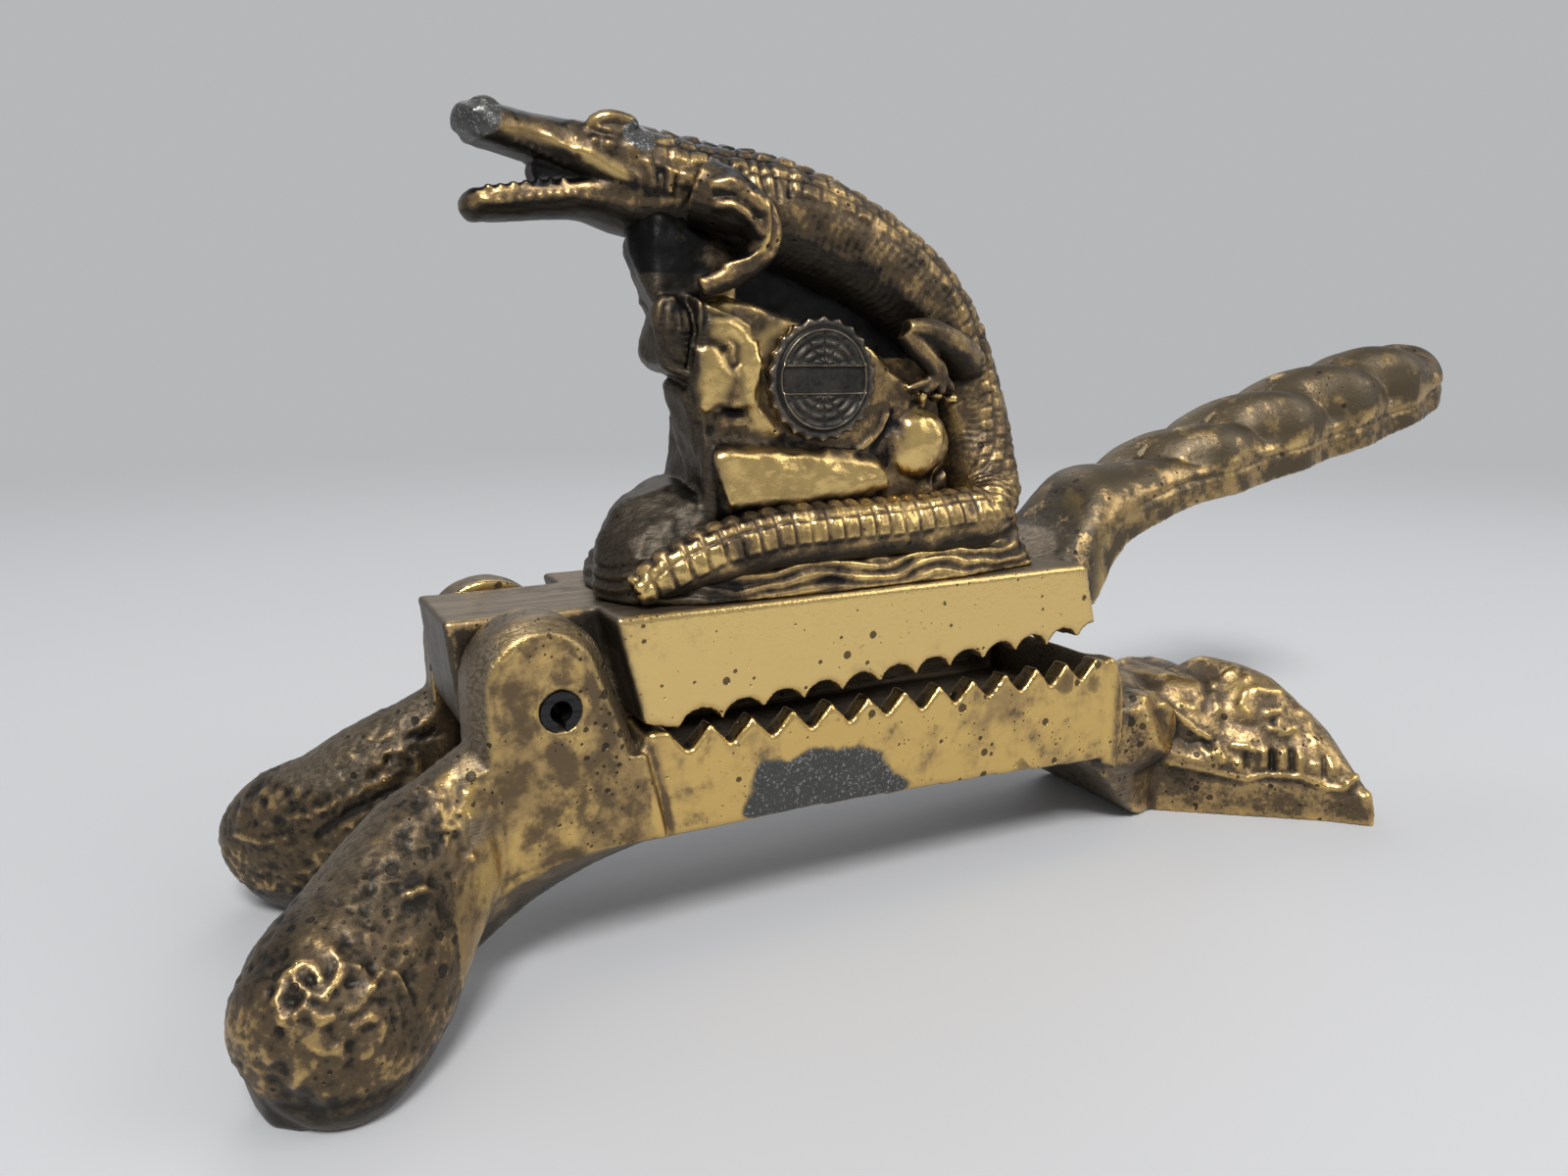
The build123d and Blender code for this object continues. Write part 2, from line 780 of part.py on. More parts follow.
def figure_casting():
    """Reptile with open jaws on its rock, with the medallion's recess and the screw holes."""
    body = rock_slab(rock_core_shares, rock_core_width) + rock_slab(rock_face_shares, rock_face_width)
    body = body + plinth() + mound()
    body = body + figure_limb(body_shares)
    body = body + figure_limb(upper_jaw_shares)
    body = body + figure_limb(lower_jaw_shares)
    body = body + both_sides(figure_limb(foreleg_shares))
    body = body + both_sides(figure_limb(thigh_shares))
    body = body + both_sides(figure_limb(shin_shares))
    below = block(-plate_length, 3 * plate_length, -plate_length, plate_length, 0, plate_top)
    body = body - below
    for x in screw_places():
        hole = Cylinder(screw_diameter / 2, screw_engagement, align=(Align.CENTER, Align.CENTER, Align.MIN))
        body = body - Pos(x, 0, plate_top) * hole
    return body - medallion_blank(medallion_recess + cut_overrun)


def medallion_blank(thickness):
    """Scalloped disc standing on the bottom of its recess in the rock's near face."""
    x_share, z_share = medallion_place_shares
    x, y, z = figure_place(x_share, 0, z_share)
    seat = -rock_face_width / 2 + medallion_recess
    rim_radius = medallion_diameter / 2 - scallop_radius
    outline = Circle(rim_radius + scallop_radius * scallop_core_share)
    for k in range(medallion_scallops):
        turn = 2 * pi * k / medallion_scallops
        outline = outline + Pos(rim_radius * cos(turn), rim_radius * sin(turn)) * Circle(scallop_radius)
    disc = extrude(outline, amount=thickness)
    return Pos(x, seat, z) * Rot(90, 0, 0) * disc


scallop_core_share = 0.75
medallion_ring_share = 0.8
medallion_band_share = 0.22


def medallion():
    """Souvenir disc with a scalloped rim, a ring line and a bare centre band between two lines."""
    x_share, z_share = medallion_place_shares
    x, y, z = figure_place(x_share, 0, z_share)
    front = -rock_face_width / 2 + medallion_recess - medallion_thickness
    ring_radius = medallion_diameter / 2 * medallion_ring_share
    line = Circle(ring_radius) - Circle(ring_radius - medallion_line_width)
    for side in (-1, 1):
        height = side * medallion_diameter * medallion_band_share / 2
        half_chord = sqrt(ring_radius ** 2 - height ** 2)
        length = 2 * half_chord - medallion_line_width
        line = line + Pos(0, height) * Rectangle(length, medallion_line_width)
    relief = extrude(line, amount=medallion_line_height)
    return medallion_blank(medallion_thickness) + Pos(x, front, z) * Rot(90, 0, 0) * relief


# Pin and fasteners


def hinge_pin():
    """Hollow slotted spring pin."""
    tube = cross_rod(0, pin_height, pin_radius, cheek_outer)
    tube = tube - cross_rod(0, pin_height, pin_bore_diameter / 2, cut_overrun)
    half_slot = pin_slot_width / 2
    low = pin_height - pin_diameter
    return tube - block(-half_slot, half_slot, -cut_overrun, cut_overrun, low, pin_height)


def washer(x):
    """Flat washer under the plate."""
    middle = plate_bottom - washer_thickness / 2
    disc = Cylinder(washer_diameter / 2, washer_thickness)
    hole = Cylinder(screw_diameter / 2 + washer_clearance, plate_thickness)
    return Pos(x, 0, middle) * (disc - hole)


def screw(x):
    """Slotted cheese-head screw that holds the figure from below."""
    low = (Align.CENTER, Align.CENTER, Align.MIN)
    head_bottom = plate_bottom - washer_thickness - screw_head_height
    head = Cylinder(screw_head_diameter / 2, screw_head_height, align=low)
    shank_length = plate_top + screw_engagement - head_bottom
    shank = Cylinder(screw_diameter / 2, shank_length, align=low)
    half_slot = screw_slot_width / 2
    reach = screw_head_diameter
    slot = block(-reach, reach, -half_slot, half_slot, 0, screw_slot_depth)
    return Pos(x, 0, head_bottom) * (head + shank - slot)


def save(name, shapes, shift):
    """Write one node's solids in the part's own frame."""
    solids = []
    for shape in shapes:
        solids.extend((shift * shape).solids())
    export_step(Compound(children=solids) if len(solids) > 1 else solids[0], f"parts/{name}.step")
    for solid in solids:
        print(name, "valid", solid.is_valid, "volume", round(solid.volume, 1))


base = base_casting()
lever = lever_casting()
figure = figure_casting()
nodes = {
    "base_casting": [base],
    "lever_casting": [lever],
    "figure_casting": [figure],
    "medallion": [medallion()],
    "hinge_pin": [hinge_pin()],
    "figure_screws": [screw(x) for x in screw_places()],
    "screw_washers": [washer(x) for x in screw_places()],
}
low_x = min(shape.bounding_box().min.X for shape in (base, lever, figure))
high_x = max(shape.bounding_box().max.X for shape in (base, lever, figure))
shift = Pos(-(low_x + high_x) / 2, 0, 0)
for name, shapes in nodes.items():
    save(name, shapes, shift)
print("hinge axis at", -(low_x + high_x) / 2, 0, pin_height)
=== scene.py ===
"""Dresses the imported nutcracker: cast brass skins, a reptile on its rock, a souvenir disc and a pale studio.

Every shape is worked in millimetres, with x from the hinge's axis and z from the ground, and is moved to the
row frame at the end.
"""

from __future__ import annotations

import json
import logging
import math
from dataclasses import dataclass
from enum import Enum
from typing import Callable, Iterable, Sequence

import bmesh
import bpy
import numpy as np
from mathutils import Matrix, Vector, noise


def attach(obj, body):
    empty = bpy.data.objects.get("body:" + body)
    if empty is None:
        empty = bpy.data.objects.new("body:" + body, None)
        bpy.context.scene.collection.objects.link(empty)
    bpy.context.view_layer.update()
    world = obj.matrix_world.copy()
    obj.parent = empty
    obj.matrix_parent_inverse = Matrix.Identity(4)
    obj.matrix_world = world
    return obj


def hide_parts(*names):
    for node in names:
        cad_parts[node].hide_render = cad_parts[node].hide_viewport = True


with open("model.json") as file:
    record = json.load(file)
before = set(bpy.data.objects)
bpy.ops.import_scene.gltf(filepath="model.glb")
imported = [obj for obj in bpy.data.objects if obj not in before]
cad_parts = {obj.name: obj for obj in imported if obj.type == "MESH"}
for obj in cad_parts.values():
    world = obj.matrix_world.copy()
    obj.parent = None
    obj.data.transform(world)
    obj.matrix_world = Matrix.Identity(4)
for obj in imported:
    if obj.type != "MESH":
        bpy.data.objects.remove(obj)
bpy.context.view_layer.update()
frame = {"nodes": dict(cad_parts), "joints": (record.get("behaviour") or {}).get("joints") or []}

log = logging.getLogger("nutcracker")

MM = 0.001
HINGE_X = float(frame["joints"][0]["pos_m"][0])
TO_ROW = Matrix.Translation((HINGE_X, 0.0, 0.0)) @ Matrix.Scale(MM, 4)
TO_HAND = TO_ROW.inverted()
# The colour attribute below holds each point's wear together with its painted shade and highlights.
WEAR_AND_LIGHT = "wear_and_light"
MOST_TRIANGLES = 194_000
SENSOR_WIDTH = 36.0
FACING_OUT = 0.9
TRACE = 0.01
TOOTH_INNER = 10.5
WELD = 0.002
FLAT_ANGLE = 0.03
LEAN_MARGIN = 2.0
LEAN_END = 40.0
LEAN_RUN = 16.0

Point = tuple[float, float, float]
Flat = tuple[float, float]
Colour = tuple[float, float, float, float]
Table = tuple[tuple[float, ...], ...]
Feeds = dict[str | int, object]
Array = np.ndarray
Shape = bmesh.types.BMesh
Tree = bpy.types.NodeTree
Socket = bpy.types.NodeSocket
Material = bpy.types.Material

# Relief that is drawn over the view. Each row is a stroke: its width in pixels of 1600 by 1200, its height in
# millimetres, then x and y of its corners in pixels. Eye, cheeks and neck folds of the reptile.
FACE_MARKS: Table = (
    (4.3, 0.4, 600, 129, 604, 123, 612, 119, 623, 119, 634, 121, 643, 124, 647, 132),
    (3.5, 0.35, 611, 130, 621, 133, 629, 136, 638, 133, 646, 130),
    (3.9, -0.25, 617, 126, 625, 124, 635, 126),
    (7.4, 0.4, 586, 123, 596, 115, 611, 112, 625, 114, 636, 117, 647, 123),
    (10.0, 0.75, 593, 153, 603, 158, 616, 167, 629, 176, 639, 183), (4.8, 0.5, 606, 143),
    (5.6, 0.6, 621, 147), (3.5, 0.3, 588, 141), (6.9, 0.4, 648, 148),
    (5.2, 0.5, 661, 166, 665, 177, 668, 190), (4.3, 0.45, 674, 181, 675, 192),
    (4.8, 0.5, 683, 180, 684, 194), (4.3, 0.35, 653, 181, 654, 197),
    (3.9, 0.45, 673, 168, 690, 177, 703, 181, 712, 190), (3.5, 0.35, 690, 185, 701, 190, 710, 192),
    (2.6, -0.35, 678, 175, 679, 201), (2.6, -0.3, 671, 179, 672, 201), (2.6, -0.3, 689, 184, 690, 201),
    (5.6, 0.3, 560, 140, 573, 149, 586, 155), (9.2, 0.5, 508, 130, 533, 133, 558, 140, 574, 148),
    (3.2, 0.35, 526, 144), (3.2, 0.3, 534, 147), (3.2, 0.35, 542, 151), (3.2, 0.3, 551, 155),
    (3.2, 0.35, 559, 159), (3.2, 0.3, 567, 164), (3.7, 0.35, 576, 168), (7.3, 0.35, 494, 105),
    (5.5, 0.3, 483, 113), (4.1, 0.2, 469, 124), (4.1, 0.3, 490, 203), (4.1, 0.35, 497, 205),
    (3.7, 0.3, 510, 206), (3.7, 0.3, 520, 205), (3.2, 0.3, 531, 203), (3.2, 0.3, 541, 201),
    (2.8, 0.3, 552, 200), (2.8, 0.3, 562, 199), (2.8, 0.3, 571, 199), (2.8, 0.3, 580, 198),
    (2.8, 0.3, 588, 198), (2.8, 0.25, 600, 202), (3.7, -0.2, 492, 214, 538, 211, 584, 206),
)
# Folds of the foreleg and the first bands behind it.
LIMB_MARKS: Table = (
    (6.5, 0.5, 729, 188, 746, 184, 762, 191, 771, 201, 777, 212),
    (6.1, 0.5, 733, 210, 749, 210, 762, 219, 770, 228, 777, 238),
    (3.5, -0.35, 731, 199, 749, 199, 764, 210, 774, 222),
    (3.0, 0.3, 781, 203, 786, 225, 784, 244, 777, 256, 764, 265, 740, 271),
    (3.9, -0.4, 790, 212, 792, 233, 788, 255), (3.0, -0.4, 756, 173, 763, 184, 769, 194),
    (3.0, -0.4, 774, 168, 779, 181, 783, 199), (3.0, -0.4, 790, 177, 793, 190, 795, 203),
    (3.0, -0.35, 805, 181, 806, 199),
)
# Knot, creases and facets of the rock.
ROCK_MARKS: Table = (
    (2.4, -0.8, 700, 306, 706, 319, 709, 338, 706, 357, 703, 374),
    (3.2, -0.35, 680, 306, 676, 325, 673, 344, 678, 362, 688, 374, 702, 375),
    (3.8, 0.35, 680, 306, 691, 303, 704, 302, 714, 307, 718, 322, 716, 341, 710, 356),
    (1.3, -0.2, 686, 341, 703, 340), (1.3, -0.2, 684, 348, 703, 347), (1.3, -0.2, 683, 354, 703, 354),
    (1.6, -0.2, 688, 319, 690, 336), (1.6, -0.2, 695, 314, 696, 333),
    (3.8, -0.5, 718, 306, 720, 325, 714, 352), (3.8, -0.3, 714, 352, 728, 351, 740, 358),
    (3.2, -0.3, 725, 319, 732, 322, 745, 324, 759, 332, 770, 345),
    (4.3, -0.5, 740, 358, 747, 376, 755, 370, 754, 354, 747, 345),
    (4.3, -0.35, 712, 421, 723, 425, 734, 416, 747, 424, 758, 424),
    (3.2, -0.3, 758, 378, 761, 405, 766, 429),
    (4.3, 0.4, 774, 368, 771, 381, 774, 397, 769, 416, 780, 429, 792, 443),
    (7.0, -0.35, 728, 440, 761, 444, 801, 447, 828, 451),
    (3.2, 0.45, 905, 424, 898, 440, 881, 454, 868, 464, 844, 461),
    (2.7, -0.3, 911, 419, 904, 440, 889, 459), (3.8, 0.5, 924, 395), (4.3, 0.5, 940, 392),
    (3.8, 0.5, 959, 392), (2.7, 0.3, 943, 400, 940, 416), (2.7, 0.25, 928, 403, 924, 416),
    (2.7, 0.25, 732, 464, 736, 486, 742, 504, 747, 515),
    (3.8, -0.5, 972, 416, 978, 435, 977, 453, 968, 475, 951, 491),
)
# Net and pits of the near front foot.
FRONT_FOOT_MARKS: Table = (
    (4.9, 0.5, 289, 1043, 283, 1022, 286, 1005, 296, 992, 306, 985, 319, 986, 325, 999),
    (3.8, 0.4, 299, 993, 302, 1003, 316, 1012), (3.8, 0.35, 327, 999, 321, 1015, 331, 1020),
    (4.5, 0.45, 333, 1018, 341, 1001, 349, 988, 338, 969),
    (3.8, 0.35, 291, 1041, 302, 1037, 311, 1026, 314, 1015),
    (4.2, 0.45, 331, 1043, 352, 1034, 367, 1026, 375, 1011),
    (3.4, 0.35, 378, 1007, 390, 988, 403, 993, 412, 1007, 416, 1026),
    (3.4, 0.3, 352, 984, 371, 988, 378, 1007),
    (3.4, 0.35, 361, 1047, 378, 1037, 390, 1045, 387, 1068, 367, 1079),
    (4.2, 0.4, 314, 1062, 331, 1075, 346, 1071, 352, 1056), (4.5, 0.35, 268, 1068, 276, 1083),
    (3.8, 0.35, 314, 1026, 325, 1041, 321, 1060), (3.0, 0.25, 382, 1015, 401, 1018, 405, 1034),
    (6.4, -0.6, 299, 1022), (4.9, -0.55, 318, 999), (5.7, -0.6, 357, 1003), (5.7, -0.55, 390, 1021),
    (6.8, -0.8, 357, 1067), (5.7, -0.55, 374, 1051), (5.7, -0.5, 285, 1054), (4.9, -0.4, 347, 1032),
    (4.5, -0.4, 378, 988), (4.9, -0.4, 338, 1051), (4.5, -0.35, 401, 1039), (4.5, -0.4, 268, 1037),
    (3.8, -0.35, 276, 1011), (4.2, -0.3, 291, 973), (3.8, -0.3, 314, 965), (4.2, -0.3, 355, 961),
    (3.8, -0.3, 333, 946), (3.4, -0.3, 272, 977), (4.2, -0.3, 405, 973), (3.8, -0.3, 424, 999),
    (3.8, -0.3, 310, 931), (4.2, -0.3, 344, 920), (4.5, -0.3, 371, 943), (4.2, -0.3, 378, 908),
    (4.2, -0.25, 397, 931), (9.9, 0.9, 306, 1102), (8.3, 0.4, 331, 1119),
    (5.3, 0.8, 418, 912, 432, 907, 441, 910), (7.6, -0.5, 427, 922), (4.5, 0.6, 481, 875),
    (7.6, -0.55, 429, 816), (3.4, 0.3, 416, 808, 427, 803, 445, 812, 448, 827), (7.6, -0.4, 412, 848),
    (8.3, -0.6, 473, 802, 482, 825, 486, 852), (6.8, -0.4, 443, 954, 446, 973),
    (5.3, -0.3, 465, 855, 471, 871),
)
# Pits and furrow of the far front foot's inner side.
FAR_FOOT_MARKS: Table = (
    (5.3, -0.6, 397, 776), (3.4, 0.35, 388, 780, 393, 768, 408, 765, 424, 772, 427, 787),
    (3.8, -0.5, 412, 802, 382, 817, 352, 833, 325, 852), (3.8, 0.3, 424, 795, 390, 821, 359, 842),
    (3.8, 0.3, 397, 793, 367, 806, 344, 817, 314, 833, 291, 833),
    (3.8, 0.35, 242, 852, 264, 860, 291, 855), (6.1, -0.4, 348, 787), (5.3, -0.35, 291, 810),
    (5.3, -0.35, 314, 806), (4.9, -0.35, 268, 817), (4.5, -0.3, 283, 787), (4.5, -0.3, 310, 783),
    (4.5, -0.35, 261, 840), (5.3, -0.35, 283, 836), (4.5, -0.35, 333, 810), (4.2, -0.3, 249, 825),
    (4.2, -0.25, 325, 772), (4.5, -0.25, 367, 768),
)
# Step from the cheek down to the jaw's side.
CHEEK_MARKS: Table = (
    (3.2, 0.3, 600, 646, 616, 676, 632, 708, 645, 738, 656, 770, 666, 808, 676, 856),
    (3.6, -0.45, 608, 640, 626, 672, 642, 706, 655, 738, 666, 770, 676, 808, 686, 856),
)
# Shell, lobes and bead row of the half nut.
REAR_FOOT_MARKS: Table = (
    (10.6, 1.1, 1163, 719, 1168, 737, 1178, 756, 1193, 769, 1213, 776, 1234, 779),
    (6.9, -0.7, 1183, 728, 1196, 746, 1211, 758, 1232, 760),
    (3.4, 0.7, 1187, 719, 1202, 730, 1217, 743, 1233, 753), (10.6, 0.8, 1193, 694, 1206, 696, 1220, 700),
    (5.5, 0.6, 1176, 707), (4.1, 0.6, 1143, 715, 1154, 711, 1165, 714), (4.1, 0.5, 1146, 725, 1156, 726),
    (4.6, 0.6, 1238, 699), (5.5, 0.6, 1238, 710, 1242, 723), (5.5, 0.6, 1250, 687, 1259, 683),
    (5.1, 0.55, 1272, 690), (4.6, 0.55, 1282, 703, 1294, 706, 1305, 706),
    (4.1, 0.55, 1294, 727, 1305, 725), (4.1, -0.6, 1300, 736),
    (4.1, 0.45, 1298, 744, 1311, 748, 1319, 743), (5.1, 0.55, 1326, 726, 1337, 730, 1335, 739),
    (6.0, 0.6, 1349, 729), (4.1, 0.4, 1337, 749, 1344, 758), (5.1, 0.4, 1206, 719, 1220, 723, 1225, 714),
    (5.1, 0.35, 1266, 719, 1275, 728), (3.7, 0.3, 1271, 705, 1266, 717),
    (9.6, -0.5, 1252, 737, 1282, 742, 1314, 756), (4.6, 0.7, 1225, 762, 1233, 769),
    (4.1, 0.7, 1241, 765, 1247, 775), (5.5, 0.8, 1263, 780), (3.2, 0.6, 1257, 760, 1271, 761, 1280, 765),
    (5.5, 0.8, 1289, 767, 1289, 779), (6.0, 0.9, 1308, 768, 1308, 780), (5.1, 0.5, 1326, 774, 1327, 785),
    (5.1, 0.5, 1342, 781), (6.0, 0.5, 1360, 785), (4.6, 0.8, 1383, 793, 1374, 800),
    (2.8, -0.5, 1271, 769, 1272, 783), (3.2, -0.7, 1298, 767, 1298, 785),
    (3.7, -0.7, 1318, 767, 1319, 785), (2.8, -0.4, 1351, 774, 1351, 792),
    (3.2, 0.5, 1193, 779, 1225, 785, 1248, 790, 1271, 796, 1294, 790, 1328, 793, 1340, 798, 1353, 804,
     1372, 805), (3.7, -0.25, 1225, 793, 1259, 798, 1294, 796, 1328, 799, 1362, 810),
    (6.9, 0.9, 1393, 813), (4.6, -0.6, 1133, 774, 1129, 742, 1133, 714, 1128, 684),
)
# Facets, ledge and knob of the rock that are rubbed to gold. Each row is x and y of an outline's corners.
ROCK_GOLD: Table = (
    (720, 303, 728, 299, 747, 298, 754, 303, 742, 311, 731, 319, 724, 315),
    (731, 325, 744, 327, 758, 333, 769, 346, 766, 354, 753, 347, 742, 345, 727, 341),
    (714, 354, 728, 353, 739, 360, 745, 378, 743, 397, 734, 408, 724, 424, 712, 421, 715, 384),
    (801, 328, 790, 338, 779, 349, 774, 368, 772, 381, 774, 397, 770, 416, 780, 429, 793, 445, 780, 441,
     766, 429, 760, 405, 757, 381, 755, 362, 766, 360, 777, 344),
    (732, 464, 743, 460, 779, 461, 811, 461, 844, 468, 876, 472, 897, 475, 909, 490, 892, 496, 860, 502,
     828, 507, 790, 510, 761, 511, 747, 515, 742, 504, 736, 486),
    (937, 420, 956, 423, 965, 436, 963, 453, 951, 467, 940, 483, 921, 487, 913, 475, 924, 451, 929, 429),
)
# Streaks of the snout and the cheek that are rubbed to gold.
FACE_GOLD: Table = (
    (510, 128, 538, 129, 558, 136, 572, 145, 570, 150, 547, 144, 515, 137),
    (592, 154, 602, 152, 620, 163, 639, 172, 641, 184, 630, 184, 607, 172, 593, 166),
)


class Side(Enum):
    """The near side faces the camera; the far side is its mirror image."""

    NEAR = -1.0
    FAR = 1.0


def pairs(numbers: Sequence[float]) -> list[Flat]:
    """Row of numbers as places of two numbers each."""
    return list(zip(numbers[::2], numbers[1::2]))


def triples(numbers: Sequence[float]) -> list[Point]:
    """Row of numbers as places of three numbers each."""
    return list(zip(numbers[::3], numbers[1::3], numbers[2::3]))


def ramp(low: float, high: float, value: Array) -> Array:
    """Soft step from 0 at low to 1 at high.

    Args:
        low: Value at which the step starts. It may be above high, for a step down.
        high: Value at which the step is over.
        value: Numbers to step.

    Returns:
        Numbers from 0 to 1.
    """
    share = np.clip((value - low) / (high - low), 0.0, 1.0)
    return share * share * (3.0 - 2.0 * share)


def window(value: Array, start: float, full: float, fading: float, end: float) -> Array:
    """1 between full and fading, and 0 before start and past end."""
    return ramp(start, full, value) * ramp(end, fading, value)


def soft_noise(points: Array, size: float, seed: float) -> Array:
    """Smooth noise of about -1 to 1 with features of one size.

    Args:
        points: Places in millimetres.
        size: Size of a feature in millimetres.
        seed: Shift that gives another pattern.

    Returns:
        One number for each place.
    """
    scaled = points / size + seed
    return np.array([noise.noise(Vector(place)) for place in scaled])


def cells(points: Array, size: float, seed: float) -> tuple[Array, Array]:
    """Distances to the nearest and the second nearest cell centre.

    Args:
        points: Places in millimetres.
        size: Size of a cell in millimetres.
        seed: Shift that gives another pattern.

    Returns:
        The two distances as shares of a cell.
    """
    scaled = points / size + seed
    found = np.array([noise.voronoi(Vector(place))[0][:2] for place in scaled]).reshape(-1, 2)
    return found[:, 0], found[:, 1]


def path_distance(flat: Array, path: Sequence[Flat]) -> Array:
    """Distance in a plane from each place to a broken line.

    Args:
        flat: Places as two columns.
        path: Corners of the line, at least one.

    Returns:
        One distance for each place.
    """
    corners = np.array(path, float)
    nearest = np.linalg.norm(flat - corners[0], axis=1)
    for start, end in zip(corners, corners[1:]):
        run = end - start
        share = np.clip((flat - start) @ run / max(run @ run, 1e-12), 0.0, 1.0)
        nearest = np.minimum(nearest, np.linalg.norm(flat - start - share[:, None] * run, axis=1))
    return nearest


def inside(flat: Array, outline: Sequence[Flat]) -> Array:
    """Tells which places lie within a closed outline.

    Args:
        flat: Places as two columns.
        outline: Corners of the outline in order.

    Returns:
        True for each place within.
    """
    corners = np.array(outline, float)
    within = np.zeros(len(flat), bool)
    for (left, low), (right, high) in zip(corners, np.roll(corners, -1, axis=0)):
        crossed = (low > flat[:, 1]) != (high > flat[:, 1])
        reach = (right - left) * (flat[:, 1] - low) / ((high - low) or 1e-9) + left
        within ^= crossed & (flat[:, 0] < reach)
    return within


@dataclass(frozen=True)
class Stroke:
    """One raised or sunk line of a relief, drawn over a plane."""

    width: float
    height: float
    path: Sequence[Flat]

    def raise_at(self, flat: Array) -> Array:
        """Height that the stroke gives to each place of the plane."""
        share = path_distance(flat, self.path) / self.width
        return self.height * np.exp(-(share**2))


def cad_copy(node: str) -> Shape:
    """Merged copy of a CAD node in millimetres from the hinge."""
    shape = bmesh.new()
    shape.from_mesh(frame["nodes"][node].data)
    bmesh.ops.transform(shape, matrix=TO_HAND, verts=shape.verts)
    bmesh.ops.remove_doubles(shape, verts=shape.verts, dist=WELD)
    return shape


def ball(centre: Point, radii: Point, turn: Matrix | None = None) -> Shape:
    """Ellipsoid.

    Args:
        centre: Its middle.
        radii: Its three half lengths.
        turn: Rotation of its axes, if any.

    Returns:
        A closed shape.
    """
    shape = bmesh.new()
    bmesh.ops.create_icosphere(shape, subdivisions=4, radius=1.0)
    size = Matrix.Diagonal((*radii, 1.0))
    place = Matrix.Translation(centre) @ (turn or Matrix.Identity(4)) @ size
    bmesh.ops.transform(shape, matrix=place, verts=shape.verts)
    return shape


def boulder(corners: Iterable[Point], chamfer: float = 0.0) -> Shape:
    """Hewn block that spans its corners.

    Args:
        corners: Outermost points of the block.
        chamfer: Width taken off its edges.

    Returns:
        A closed convex shape.
    """
    shape = bmesh.new()
    for corner in corners:
        shape.verts.new(corner)
    hull = bmesh.ops.convex_hull(shape, input=shape.verts)
    inner = {item for key in ("geom_interior", "geom_unused") for item in hull[key]}
    loose = [item for item in inner if isinstance(item, bmesh.types.BMVert)]
    bmesh.ops.delete(shape, geom=loose, context="VERTS")
    bmesh.ops.dissolve_limit(shape, angle_limit=FLAT_ANGLE, verts=shape.verts, edges=shape.edges)
    if chamfer:
        bmesh.ops.bevel(shape, geom=shape.edges, offset=chamfer, segments=2, profile=0.5, affect="EDGES",
                        material=-1, clamp_overlap=True)
    bmesh.ops.recalc_face_normals(shape, faces=shape.faces)
    return shape


def both(corners: Iterable[Point], lean: float = 0.0) -> list[Point]:
    """The corners together with their images across the middle.

    Args:
        corners: Corners on the near side.
        lean: How far the far images at the front lie behind, as a share of the block's width.

    Returns:
        Twice as many corners.
    """
    near = list(corners)
    front = [min(max((LEAN_END - x) / LEAN_RUN, 0.0), 1.0) for x, _, _ in near]
    back = [lean * (abs(y) + LEAN_MARGIN) * share for (_, y, _), share in zip(near, front)]
    return near + [(x + move, -y, z) for (x, y, z), move in zip(near, back)]


def oval(turn: float) -> Flat:
    """Section that is an oval."""
    return math.cos(turn), math.sin(turn)


